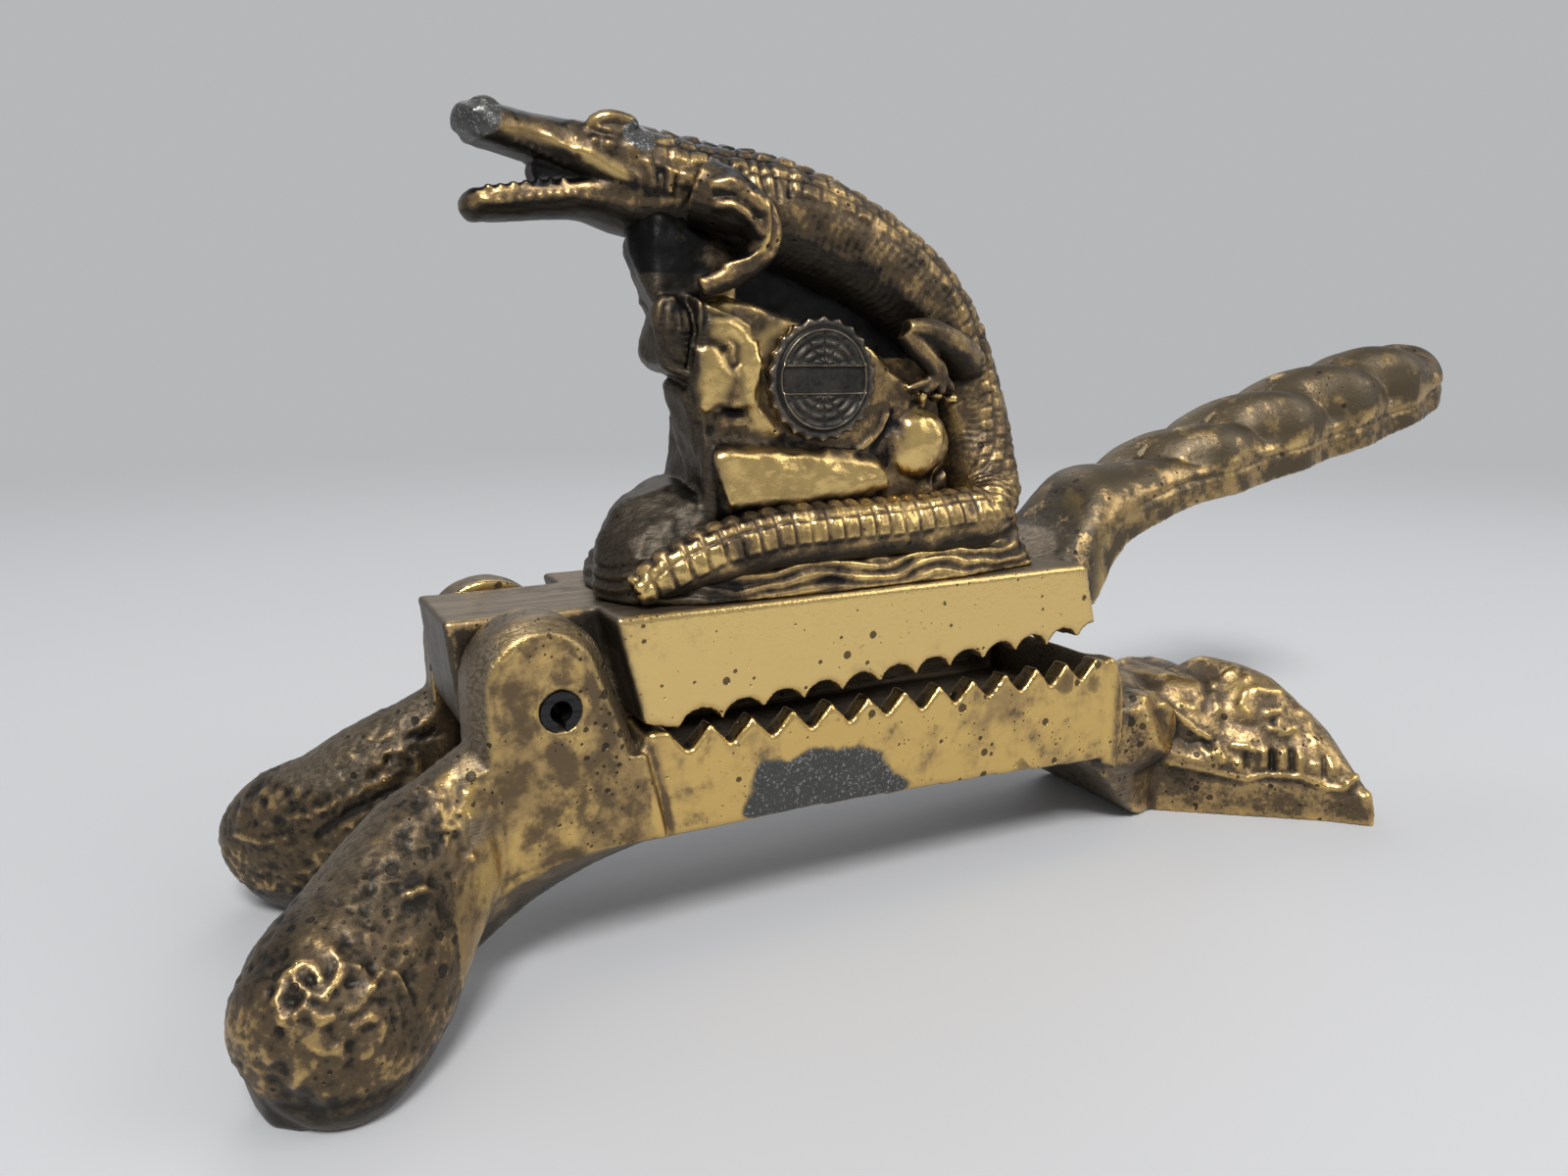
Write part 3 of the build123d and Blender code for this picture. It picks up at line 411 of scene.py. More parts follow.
class Spine:
    """Smooth line of sections that runs through the rows of a body or limb.

    A row is x, y, z, half width, half height, then the direction of its crest.
    """

    BATCH = 20000
    STEP = 0.4
    LEAST_HALF = 0.05

    def __init__(self, rows: Sequence[Sequence[float]]) -> None:
        """Samples the rows.

        Args:
            rows: The sections from one end to the other.
        """
        table = np.array(rows, float)
        gaps = np.linalg.norm(np.diff(table[:, :3], axis=0), axis=1)
        marks = np.concatenate([[0.0], np.cumsum(gaps)])
        self.length = float(marks[-1])
        count = max(int(self.length / self.STEP), 4)
        self.marks = np.linspace(0.0, self.length, count + 1)
        slopes = np.gradient(table, marks, axis=0)
        which = np.clip(np.searchsorted(marks, self.marks, side="right") - 1, 0, len(gaps) - 1)
        run = gaps[which][:, None]
        share = ((self.marks - marks[which])[:, None]) / run
        one, two = table[which], table[which + 1]
        smooth = (
            (2 * share**3 - 3 * share**2 + 1) * one
            + (share**3 - 2 * share**2 + share) * run * slopes[which]
            + (3 * share**2 - 2 * share**3) * two
            + (share**3 - share**2) * run * slopes[which + 1]
        )
        self.places = smooth[:, :3]
        self.half_width, self.half_height = np.maximum(smooth[:, 3:5], self.LEAST_HALF).T
        along = np.gradient(self.places, axis=0)
        self.along = along / np.linalg.norm(along, axis=1, keepdims=True)
        crest = smooth[:, 5:8]
        crest = crest - (crest * self.along).sum(1, keepdims=True) * self.along
        self.crest = crest / np.linalg.norm(crest, axis=1, keepdims=True)
        self.side = np.cross(self.along, self.crest)

    def tube(self, segments: int, outline: Callable[[float], Flat] = oval) -> Shape:
        """Skin through the sections.

        Args:
            segments: Points round a section.
            outline: Section's shape as shares of its half width and half height at an angle.

        Returns:
            A closed shape.
        """
        shape = bmesh.new()
        unit = [outline(2 * math.pi * k / segments) for k in range(segments)]
        before: list[bmesh.types.BMEdge] = []
        for k, place in enumerate(self.places):
            made = bmesh.ops.create_circle(shape, segments=segments, radius=1.0)["verts"]
            for corner, (across, upward) in zip(made, unit):
                sideways = self.side[k] * self.half_width[k] * across
                corner.co = Vector(place + sideways + self.crest[k] * self.half_height[k] * upward)
            ring = list({edge for corner in made for edge in corner.link_edges})
            if before:
                bmesh.ops.bridge_loops(shape, edges=before + ring)
            before = ring
        bmesh.ops.holes_fill(shape, edges=shape.edges, sides=0)
        bmesh.ops.recalc_face_normals(shape, faces=shape.faces)
        return shape

    def nearest(self, points: Array) -> tuple[Array, Array, Array, Array]:
        """Finds where points lie on the spine.

        Args:
            points: Places in millimetres.

        Returns:
            Distance along the spine, turn about it from the crest, mean radius there, and how far out the
            point is as a share of the section.
        """
        found = np.empty(len(points), int)
        for start in range(0, len(points), self.BATCH):
            part = points[start : start + self.BATCH]
            away = ((part[:, None, :] - self.places[None]) ** 2).sum(2)
            away = away / (self.half_width + self.half_height)[None] ** 2
            found[start : start + self.BATCH] = away.argmin(1)
        offset = points - self.places[found]
        mark = self.marks[found] + (offset * self.along[found]).sum(1)
        across = (offset * self.side[found]).sum(1)
        upward = (offset * self.crest[found]).sum(1)
        turn = np.arctan2(across, upward)
        radius = (self.half_width[found] + self.half_height[found]) / 2
        out = np.hypot(across / self.half_width[found], upward / self.half_height[found])
        beyond = (mark < -0.5) | (mark > self.length + 0.5)
        return mark, turn, radius, np.where(beyond, 9.0, out)


def mirrored(shape: Shape) -> Shape:
    """Mirror image of a closed shape across the middle, with its faces outwards."""
    other = shape.copy()
    bmesh.ops.scale(other, vec=(1.0, -1.0, 1.0), verts=other.verts)
    bmesh.ops.reverse_faces(other, faces=other.faces)
    return other


def drawn_line(shape: Shape, places: Iterable[Point]) -> list[bmesh.types.BMEdge]:
    """Draws a broken line in an empty shape and gives its edges."""
    line = [shape.verts.new(place) for place in places]
    return [shape.edges.new(pair) for pair in zip(line, line[1:])]


def placed(name: str, data: bpy.types.ID) -> bpy.types.Object:
    """Puts data in the scene as a new object."""
    item = bpy.data.objects.new(name, data)
    bpy.context.scene.collection.objects.link(item)
    return item


def mesh_of(shape: Shape, name: str) -> bpy.types.Mesh:
    """Mesh of a shape, which is used up."""
    mesh = bpy.data.meshes.new(name)
    shape.to_mesh(mesh)
    shape.free()
    return mesh


def worked(mesh: bpy.types.Mesh, kind: str, **settings: object) -> bpy.types.Mesh:
    """Applies one modifier.

    Args:
        mesh: Mesh that is used up.
        kind: Kind of the modifier.
        settings: Its settings.

    Returns:
        A new mesh.
    """
    holder = placed("worked", mesh)
    tool = holder.modifiers.new("tool", kind)
    for key, value in settings.items():
        setattr(tool, key, value)
    ready = holder.evaluated_get(bpy.context.evaluated_depsgraph_get())
    result = bpy.data.meshes.new_from_object(ready)
    bpy.data.objects.remove(holder)
    bpy.data.meshes.remove(mesh)
    return result


def pour(shapes: Iterable[Shape], grain: float) -> bpy.types.Mesh:
    """Fuses closed shapes into one skin of even grains.

    Args:
        shapes: Closed shapes that overlap. They are used up.
        grain: Size of a face in millimetres.

    Returns:
        A closed mesh with its faces outwards.
    """
    whole = bmesh.new()
    for shape in shapes:
        part = mesh_of(shape, "part")
        whole.from_mesh(part)
        bpy.data.meshes.remove(part)
    return worked(mesh_of(whole, "mould"), "REMESH", mode="VOXEL", voxel_size=grain)


class Skin:
    """Closed cast surface that is sculpted point by point."""

    PULLS = (0.6, -0.62)

    def __init__(self, mesh: bpy.types.Mesh) -> None:
        """Reads the mesh.

        Args:
            mesh: Closed mesh in millimetres from the hinge.
        """
        self.mesh = mesh
        count = len(mesh.vertices)
        flat = np.empty(count * 3, np.float32)
        mesh.vertices.foreach_get("co", flat)
        self.points = flat.reshape(-1, 3).astype(float)
        ends = np.empty(len(mesh.edges) * 2, np.int32)
        mesh.edges.foreach_get("vertices", ends)
        self.ends = ends.reshape(-1, 2)
        self.degree = np.maximum(np.bincount(ends, minlength=count), 1)
        self.normals = np.empty((count, 3))
        self.settle()

    def settle(self) -> None:
        """Writes the points to the mesh and reads its normals again."""
        self.mesh.vertices.foreach_set("co", self.points.astype(np.float32).ravel())
        self.mesh.update()
        flat = np.empty(len(self.points) * 3, np.float32)
        self.mesh.vertex_normals.foreach_get("vector", flat)
        self.normals = flat.reshape(-1, 3).astype(float)

    def around(self, values: Array) -> Array:
        """Mean of each point's neighbours."""
        one, two = self.ends[:, 0], self.ends[:, 1]
        count = len(self.points)
        columns = values.reshape(count, -1)
        total = np.empty_like(columns)
        for k in range(columns.shape[1]):
            column = columns[:, k]
            total[:, k] = np.bincount(one, column[two], count) + np.bincount(two, column[one], count)
        return (total / self.degree[:, None]).reshape(values.shape)

    def spread(self, values: Array, rounds: int) -> Array:
        """Blurs values over the surface.

        Args:
            values: One number or one place for each point.
            rounds: How many times each is drawn to its neighbours.

        Returns:
            The blurred values.
        """
        for _ in range(rounds):
            values = (values + self.around(values)) / 2
        return values

    def soften(self, rounds: int, where: Array | None = None) -> None:
        """Rounds edges without shrinking the body.

        Args:
            rounds: How many times it is rounded.
            where: How much each point takes part, from 0 to 1.
        """
        weight = np.ones(len(self.points)) if where is None else where
        for _ in range(rounds):
            for pull in self.PULLS:
                self.points += pull * weight[:, None] * (self.around(self.points) - self.points)
        self.settle()

    def raise_by(self, heights: Array) -> None:
        """Moves each point along its normal by its height in millimetres."""
        self.points += self.normals * heights[:, None]
        self.settle()

    def proud(self, rounds: int) -> Array:
        """How far each point stands out of the surface round it, in millimetres."""
        return ((self.points - self.spread(self.points, rounds)) * self.normals).sum(1)

    def sides(self, half: float, start: float, end: float) -> Array:
        """Finds the ground side faces.

        Args:
            half: How far they lie from the middle.
            start: x at which they start.
            end: x at which they end.

        Returns:
            1 on these faces, with a soft edge.
        """
        x, y, _ = self.points.T
        flat = (np.abs(self.normals[:, 1]) > FACING_OUT) & (np.abs(y) > half - 0.6)
        return self.spread((flat & (x > start) & (x < end)).astype(float), 3)

    def bevels(self) -> Array:
        """1 on slanting edges of the sides."""
        across = np.abs(self.normals[:, 1])
        return self.spread(((across > 0.35) & (across < FACING_OUT)).astype(float), 1)

    def ridges(self, plain: float, fine: Flat, broad: Flat, cloud: Point) -> Array:
        """Finds rubbed ridges and dark hollows.

        Args:
            plain: Value of a plain surface.
            fine: Weight of narrow ridges, and the rounds that find them.
            broad: Weight of wide ridges, and the rounds that find them.
            cloud: Weight, size and seed of a cloudy pattern.

        Returns:
            Low numbers in hollows and high ones on ridges.
        """
        found = plain + fine[0] * self.proud(fine[1]) + broad[0] * self.proud(broad[1])
        return found + cloud[0] * soft_noise(self.points, *cloud[1:])

    def paint(self, polish: Array, ridge: Array, tarnish_and_shade: Array, grey: Array) -> None:
        """Stores how each point is worn, and where shade and highlights are painted.

        Args:
            polish: 1 on ground and polished faces.
            ridge: 0 in hollows, 0.5 on plain surfaces and 1 on rubbed ridges; some pieces also lower it as
                painted shade and raise it as painted highlights.
            tarnish_and_shade: 1 under thick brown tarnish film, which also stands for painted shade in
                recesses and under overhangs.
            grey: 1 where the plating has worn to grey metal; behind the reptile's eye it also stands for a
                painted highlight.
        """
        layer = self.mesh.color_attributes.new(WEAR_AND_LIGHT, "FLOAT_COLOR", "POINT")
        values = np.clip(np.stack([polish, ridge, tarnish_and_shade, grey], axis=1), 0.0, 1.0)
        layer.data.foreach_set("color", values.astype(np.float32).ravel())


@dataclass(frozen=True)
class Sight:
    """View of the picture, through which drawn marks reach the surface that they lie on."""

    place: Point = (-31.842, -129.686, 73.42)
    yaw: float = 27.97
    pitch: float = 11.86
    lens: float = 24.55
    width: float = 1600.0
    height: float = 1200.0
    grazing: float = 0.06
    faced: float = 0.32

    def pixels(self, points: Array, normals: Array, mirror: bool) -> tuple[Array, Array]:
        """Where points lie in the picture.

        Args:
            points: Places in millimetres.
            normals: Their directions outwards.
            mirror: True where the far side repeats the near side.

        Returns:
            The pixels, and from 0 to 1 how well each point faces the view.
        """
        flip = np.where(mirror & (points[:, 1:2] > 0), (1.0, -1.0, 1.0), (1.0, 1.0, 1.0))
        yaw, pitch = math.radians(self.yaw), math.radians(self.pitch)
        level = math.cos(pitch)
        ahead = np.array([math.sin(yaw) * level, math.cos(yaw) * level, -math.sin(pitch)])
        right = np.array([math.cos(yaw), -math.sin(yaw), 0.0])
        upward = np.cross(right, ahead)
        away = points * flip - np.array(self.place)
        depth = np.maximum(away @ ahead, 1.0)
        scale = self.width * self.lens / SENSOR_WIDTH / depth
        flat = np.stack(
            [self.width / 2 + scale * (away @ right), self.height / 2 - scale * (away @ upward)], axis=1
        )
        length = np.linalg.norm(away, axis=1)
        facing = -((normals * flip) * away).sum(1) / np.maximum(length, 1e-6)
        return flat, ramp(self.grazing, self.faced, facing)

    def relief(self, skin: Skin, marks: Table, region: Array, mirror: bool = True) -> Array:
        """Height that drawn marks give to each point.

        Args:
            skin: The surface.
            marks: The marks.
            region: How much each point takes part, from 0 to 1.
            mirror: True where the far side repeats the near side.

        Returns:
            Heights in millimetres.
        """
        which = np.flatnonzero(region > TRACE)
        heights = np.zeros(len(region))
        flat, facing = self.pixels(skin.points[which], skin.normals[which], mirror)
        total = sum(Stroke(*mark[:2], pairs(mark[2:])).raise_at(flat) for mark in marks)
        heights[which] = total * facing * region[which]
        return heights

    def patches(self, skin: Skin, outlines: Table, region: Array, edge: float) -> Array:
        """How far each point lies within drawn patches.

        Args:
            skin: The surface.
            outlines: Outlines of the patches in pixels.
            region: How much each point takes part, from 0 to 1.
            edge: Width of a patch's soft edge in pixels.

        Returns:
            Numbers from 0 to 1.
        """
        which = np.flatnonzero(region > TRACE)
        shares = np.zeros(len(region))
        flat, facing = self.pixels(skin.points[which], skin.normals[which], True)
        flat = flat + 3.0 * soft_noise(skin.points[which], 1.6, 41.0)[:, None]
        best = np.zeros(len(which))
        for outline in map(pairs, outlines):
            depth = path_distance(flat, outline + outline[:1])
            signed = np.where(inside(flat, outline), depth, -depth)
            best = np.maximum(best, ramp(-edge, edge, signed))
        shares[which] = best * facing * region[which]
        return shares


SIGHT = Sight()


def finished(
    name: str, mesh: bpy.types.Mesh, material: Material, body: str, node: str
) -> bpy.types.Object:
    """Turns a mesh into a piece of the part.

    Args:
        name: Plain name of the piece.
        mesh: Mesh in millimetres from the hinge. It is thinned where it has too many triangles.
        material: Its finish.
        body: CAD body that it rides on.
        node: CAD node that it stands for.

    Returns:
        The piece, in the row frame.
    """
    triangles = sum(len(face.vertices) - 2 for face in mesh.polygons)
    if triangles > MOST_TRIANGLES:
        mesh = worked(mesh, "DECIMATE", ratio=MOST_TRIANGLES / triangles)
    mesh.transform(TO_ROW)
    mesh.name = name
    mesh.materials.clear()
    mesh.materials.append(material)
    mesh.shade_smooth()
    piece = placed(name, mesh)
    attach(piece, body)
    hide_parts(node)
    log.info("%s: %d faces, was %d triangles", name, len(mesh.polygons), triangles)
    return piece


class Wiring:
    """Short calls that add and join the nodes of one tree."""

    def __init__(self, tree: Tree) -> None:
        """Keeps the tree."""
        self.tree = tree

    def feed(self, socket: Socket, value: object) -> None:
        """Joins an output to a socket, or sets the socket to a plain value."""
        if isinstance(value, Socket):
            self.tree.links.new(value, socket)
        else:
            socket.default_value = value

    def add(self, kind: str, feeds: Feeds | None = None, **settings: object) -> bpy.types.Node:
        """Adds a node, sets its properties and then feeds its inputs by name or number."""
        node = self.tree.nodes.new(kind)
        for key, value in settings.items():
            setattr(node, key, value)
        for label, value in (feeds or {}).items():
            self.feed(node.inputs[label], value)
        return node

    def math(self, operation: str, one: object, two: object) -> Socket:
        """Result of one operation on two values."""
        return self.add("ShaderNodeMath", {0: one, 1: two}, operation=operation).outputs[0]

    def times(self, one: object, two: object) -> Socket:
        """Product of two values."""
        return self.math("MULTIPLY", one, two)

    def plus(self, one: object, two: object) -> Socket:
        """Sum of two values."""
        return self.math("ADD", one, two)

    def less(self, one: object, two: object) -> Socket:
        """First value less the second."""
        return self.math("SUBTRACT", one, two)

    def most(self, one: object, two: object) -> Socket:
        """Larger of two values."""
        return self.math("MAXIMUM", one, two)

    def step(self, value: object, low: float, high: float, to: Flat = (0.0, 1.0)) -> Socket:
        """Soft step of a value between low and high."""
        feeds = {"Value": value, "From Min": low, "From Max": high, "To Min": to[0], "To Max": to[1]}
        return self.add("ShaderNodeMapRange", feeds, interpolation_type="SMOOTHSTEP").outputs["Result"]

    def blend(self, share: object, one: object, two: object) -> Socket:
        """Colour between two colours."""
        return self.add("ShaderNodeMix", {"Factor": share, 6: one, 7: two}, data_type="RGBA").outputs[2]

    def between(self, share: object, one: object, two: object) -> Socket:
        """Value between two values."""
        return self.add("ShaderNodeMix", {"Factor": share, 2: one, 3: two}, data_type="FLOAT").outputs[0]

    def noise(self, vector: object, scale: float, detail: float, rough: float = 0.55) -> Socket:
        """Soft noise from 0 to 1."""
        feeds = {"Vector": vector, "Scale": scale, "Detail": detail, "Roughness": rough}
        return self.add("ShaderNodeTexNoise", feeds).outputs["Fac"]

    def cells(self, vector: object, scale: float) -> tuple[Socket, ...]:
        """Distance to the middle of a cell, and two random numbers of that cell."""
        cell = self.add("ShaderNodeTexVoronoi", {"Vector": vector, "Scale": scale})
        luck = self.add("ShaderNodeSeparateColor", {0: cell.outputs["Color"]})
        return cell.outputs["Distance"], luck.outputs[0], luck.outputs[1]

    def finish(self, shader: bpy.types.Node) -> None:
        """Ends a material with its shader."""
        self.add("ShaderNodeOutputMaterial", {"Surface": shader.outputs[0]})


def bare_material(name: str) -> tuple[Material, Wiring]:
    """Starts a material that has no nodes yet."""
    material = bpy.data.materials.new(name)
    material.use_nodes = True
    material.node_tree.nodes.clear()
    return material, Wiring(material.node_tree)


def effect(
    name: str, inputs: Sequence[tuple[str, str, object]], outputs: Sequence[tuple[str, str]]
) -> tuple[Tree, Wiring, bpy.types.NodeOutputs, bpy.types.NodeInputs]:
    """Starts a node group.

    Args:
        name: Name of the effect.
        inputs: Name, kind and value of each input.
        outputs: Name and kind of each output.

    Returns:
        The group, its wiring, what is given to it and what it gives.
    """
    group = bpy.data.node_groups.new(name, "ShaderNodeTree")
    for label, kind, value in inputs:
        socket = group.interface.new_socket(name=label, in_out="INPUT", socket_type=kind)
        if value is not None:
            socket.default_value = value
    for label, kind in outputs:
        group.interface.new_socket(name=label, in_out="OUTPUT", socket_type=kind)
    wires = Wiring(group)
    return group, wires, wires.add("NodeGroupInput").outputs, wires.add("NodeGroupOutput").inputs


VECTOR, NUMBER, TINT = "NodeSocketVector", "NodeSocketFloat", "NodeSocketColor"


def speckle_effect() -> Tree:
    """Small dark pits, and larger uneven spots of old tarnish.

    Returns:
        A group that gives Pits and Spots from 0 to 1.
    """
    inputs = [("Vector", VECTOR, None), ("Pit Amount", NUMBER, 0.5), ("Spot Amount", NUMBER, 0.5)]
    group, wires, given, result = effect("Tarnish speckle", inputs, [("Pits", NUMBER), ("Spots", NUMBER)])
    patch = wires.noise(given["Vector"], 70.0, 2.0)
    holes = []
    for scale, reach in ((520.0, 0.34), (1250.0, 0.3)):
        away, luck, second_luck = wires.cells(given["Vector"], scale)
        chance = wires.times(luck, second_luck)
        chance = wires.times(chance, wires.step(patch, 0.35, 0.6, (0.25, 1.0)))
        size = wires.times(chance, wires.times(given["Pit Amount"], 2 * reach))
        holes.append(wires.step(wires.less(size, away), 0.0, 0.06))
    pits = wires.most(*holes)
    away, luck, _ = wires.cells(given["Vector"], 150.0)
    wobble = wires.times(wires.noise(given["Vector"], 700.0, 4.0), 0.4)
    away = wires.plus(away, wobble)
    size = wires.times(wires.math("POWER", luck, 2.0), 0.42)
    size = wires.times(size, wires.times(given["Spot Amount"], 2.0))
    room = wires.less(size, away)
    spots = wires.times(wires.step(room, 0.0, 0.05), wires.step(room, 0.04, 0.16, (0.6, 1.0)))
    wires.feed(result["Pits"], pits)
    wires.feed(result["Spots"], spots)
    return group


def brushed_effect() -> Tree:
    """Fine file and brush lines that run one way.

    Returns:
        A group that gives Lines from 0 to 1.
    """
    inputs = [("Vector", VECTOR, None), ("Stretch", VECTOR, (60.0, 2600.0, 2600.0))]
    group, wires, given, result = effect("Brushed lines", inputs, [("Lines", NUMBER)])
    place = wires.add("ShaderNodeVectorMath", {0: given["Vector"], 1: given["Stretch"]}, operation="MULTIPLY")
    lines = wires.noise(place.outputs[0], 1.0, 4.0, 0.6)
    wires.feed(result["Lines"], wires.step(lines, 0.3, 0.7))
    return group


def aged_effect(speckle: Tree, brushed: Tree) -> Tree:
    """Brass plate worn to gold on ridges and ground faces, with brown tarnish elsewhere; its dull film is
    tarnish in places and painted shade in others.

    Args:
        speckle: The speckle effect.
        brushed: The brushed effect.

    Returns:
        A group that gives Colour, Roughness, Metallic and Height.
    """
    inputs = [
        ("Vector", VECTOR, None),
        ("Polish", NUMBER, 0.0),
        ("Ridge", NUMBER, 0.5),
        ("Tarnish And Shade", NUMBER, 0.0),
        ("Grey", NUMBER, 0.0),
        ("Bright", TINT, (0.75, 0.5, 0.18, 1.0)),
        ("Tan", TINT, (0.42, 0.27, 0.12, 1.0)),
        ("Brown", TINT, (0.12, 0.08, 0.045, 1.0)),
        ("Black", TINT, (0.02, 0.017, 0.014, 1.0)),
        ("Dull", TINT, (0.12, 0.092, 0.062, 1.0)),
        ("Dull Light", TINT, (0.25, 0.2, 0.14, 1.0)),
        ("Pit Amount", NUMBER, 0.5),
        ("Spot Amount", NUMBER, 0.5),
        ("Tarnish", NUMBER, 0.5),
    ]
    outputs = [("Colour", TINT), ("Roughness", NUMBER), ("Metallic", NUMBER), ("Height", NUMBER)]
    group, wires, given, result = effect("Aged brass", inputs, outputs)
    place, ridge, brown, black = (given[label] for label in ("Vector", "Ridge", "Brown", "Black"))
    broad = wires.noise(place, 75.0, 5.0, 0.6)
    blotch = wires.noise(place, 260.0, 5.0, 0.62)
    grain = wires.noise(place, 1500.0, 3.0, 0.6)
    amounts = {label: given[label] for label in ("Vector", "Pit Amount", "Spot Amount")}
    dots = wires.add("ShaderNodeGroup", amounts, node_tree=speckle).outputs
    pits, spots = dots["Pits"], dots["Spots"]
    lines = wires.add("ShaderNodeGroup", {"Vector": place}, node_tree=brushed).outputs["Lines"]

    mottle = wires.plus(wires.times(broad, 0.55), wires.times(blotch, 0.45))
    lean = wires.times(wires.less(given["Tarnish"], 0.5), 0.3)
    lean = wires.plus(lean, wires.times(wires.less(0.5, ridge), 0.6))
    mottle = wires.plus(mottle, lean)
    tan_share = wires.step(mottle, 0.44, 0.62)
    brown_share = wires.step(wires.plus(blotch, lean), 0.55, 0.74, (0.0, 0.9))
    ground = wires.blend(tan_share, given["Bright"], given["Tan"])
    ground = wires.blend(brown_share, ground, brown)
    ground = wires.blend(wires.times(spots, 0.75), ground, brown)
    ground_dirt = wires.most(wires.most(wires.times(tan_share, 0.4), brown_share), spots)

    uneven = wires.times(wires.less(blotch, 0.5), 0.55)
    fine = wires.times(wires.less(grain, 0.5), 0.35)
    high = wires.plus(ridge, wires.plus(uneven, fine))
    relief = wires.blend(wires.step(high, 0.22, 0.46), black, brown)
    relief = wires.blend(wires.step(high, 0.46, 0.62), relief, given["Tan"])
    relief = wires.blend(wires.step(high, 0.6, 0.82), relief, given["Bright"])
    relief_dirt = wires.step(high, 0.45, 0.8, (1.0, 0.0))

    colour = wires.blend(given["Polish"], relief, ground)
    dirt = wires.between(given["Polish"], relief_dirt, ground_dirt)
    film = wires.blend(wires.step(lines, 0.0, 1.0, (0.0, 0.8)), given["Dull"], given["Dull Light"])
    film = wires.blend(wires.step(blotch, 0.5, 0.72, (0.0, 0.6)), film, brown)
    # The dull film below is real tarnish in places and painted shade in recesses and under overhangs, as each
    # piece marks it.
    thick = wires.times(given["Tarnish And Shade"], wires.step(mottle, 0.3, 0.45, (0.7, 1.0)))
    colour = wires.blend(thick, colour, film)
    dirt = wires.most(dirt, thick)
    colour = wires.blend(wires.times(pits, 0.85), colour, black)
    dirt = wires.most(dirt, pits)

    spark = wires.step(wires.noise(place, 2600.0, 2.0, 0.7), 0.56, 0.7)
    zinc = wires.blend(spark, (0.09, 0.09, 0.085, 1.0), (0.36, 0.36, 0.35, 1.0))
    bare = wires.step(wires.plus(given["Grey"], wires.times(uneven, 0.8)), 0.4, 0.6)
    colour = wires.blend(bare, colour, zinc)

    rough = wires.plus(wires.between(dirt, 0.2, 0.46), wires.times(wires.less(blotch, 0.5), 0.18))
    metal = wires.between(dirt, 1.0, 0.85)
    lift = wires.plus(wires.times(grain, 0.35), wires.times(blotch, 0.4))
    lift = wires.less(lift, wires.times(pits, 0.8))
    lift = wires.plus(lift, wires.times(wires.times(lines, given["Tarnish And Shade"]), 0.3))
    for label, value in (("Colour", colour), ("Roughness", rough), ("Metallic", metal), ("Height", lift)):
        wires.feed(result[label], value)
    return group


@dataclass(frozen=True)
class AgedBrass:
    """Old brass plate with its own colours and amount of tarnish."""

    name: str
    bright: Colour
    tan: Colour
    brown: Colour
    black: Colour
    dull: Colour
    dull_light: Colour
    pits: float
    spots: float
    tarnish: float
    bump: float = 0.2

    def build(self, aged: Tree) -> Material:
        """Makes the material.

        Args:
            aged: The aged brass effect.

        Returns:
            A material that reads the piece's wear and its painted light.
        """
        material, wires = bare_material(self.name)
        spot = wires.add("ShaderNodeTexCoord")
        wear_and_light = wires.add("ShaderNodeAttribute", attribute_name=WEAR_AND_LIGHT)
        parts = wires.add("ShaderNodeSeparateColor", {0: wear_and_light.outputs["Color"]})
        feeds = {
            "Vector": spot.outputs["Object"],
            "Polish": parts.outputs[0],
            "Ridge": parts.outputs[1],
            "Tarnish And Shade": parts.outputs[2],
            "Grey": wear_and_light.outputs["Alpha"],
            "Bright": self.bright,
            "Tan": self.tan,
            "Brown": self.brown,
            "Black": self.black,
            "Dull": self.dull,
            "Dull Light": self.dull_light,
            "Pit Amount": self.pits,
            "Spot Amount": self.spots,
            "Tarnish": self.tarnish,
        }
        metal = wires.add("ShaderNodeGroup", feeds, node_tree=aged).outputs
        bump = wires.add("ShaderNodeBump", {"Distance": self.bump * MM, "Height": metal["Height"]})
        looks = {
            "Base Color": metal["Colour"],
            "Roughness": metal["Roughness"],
            "Metallic": metal["Metallic"],
            "Normal": bump.outputs["Normal"],
        }
        wires.finish(wires.add("ShaderNodeBsdfPrincipled", looks))
        return material


@dataclass(frozen=True)
class PlainSteel:
    """Dark or bare steel of the pin and the fasteners."""

    name: str
    clean: Colour
    dull: Colour
    metallic: float
    roughness: float
    bump: float = 0.03

    def build(self, speckle: Tree, brushed: Tree) -> Material:
        """Makes the material.

        Args:
            speckle: The speckle effect.
            brushed: The brushed effect.

        Returns:
            A material for a CAD node.
        """
        material, wires = bare_material(self.name)
        place = wires.add("ShaderNodeTexCoord").outputs["Object"]
        dots = wires.add("ShaderNodeGroup", {"Vector": place}, node_tree=speckle)
        lines = wires.add("ShaderNodeGroup", {"Vector": place}, node_tree=brushed)
        worn = wires.times(wires.noise(place, 700.0, 4.0), lines.outputs["Lines"])
        worn = wires.most(wires.step(worn, 0.15, 0.6), dots.outputs["Pits"])
        bump = wires.add("ShaderNodeBump", {"Distance": self.bump * MM, "Height": worn})
        looks = {
            "Base Color": wires.blend(worn, self.clean, self.dull),
            "Roughness": wires.between(worn, self.roughness, self.roughness + 0.25),
            "Metallic": self.metallic,
            "Normal": bump.outputs["Normal"],
        }
        wires.finish(wires.add("ShaderNodeBsdfPrincipled", looks))
        return material


@dataclass
class Casting:
    """Piece that is poured, sculpted and painted, and that stands for one CAD node."""

    piece: str
    body: str
    slot: str
    node: str

    def sculpt(self) -> Skin:
        """Pours the piece and works its surface; each casting has its own way."""
        raise NotImplementedError

    def build(self, brass: Material) -> bpy.types.Object:
        """Makes the piece."""
        return finished(self.piece, self.sculpt().mesh, brass, self.body, self.node)


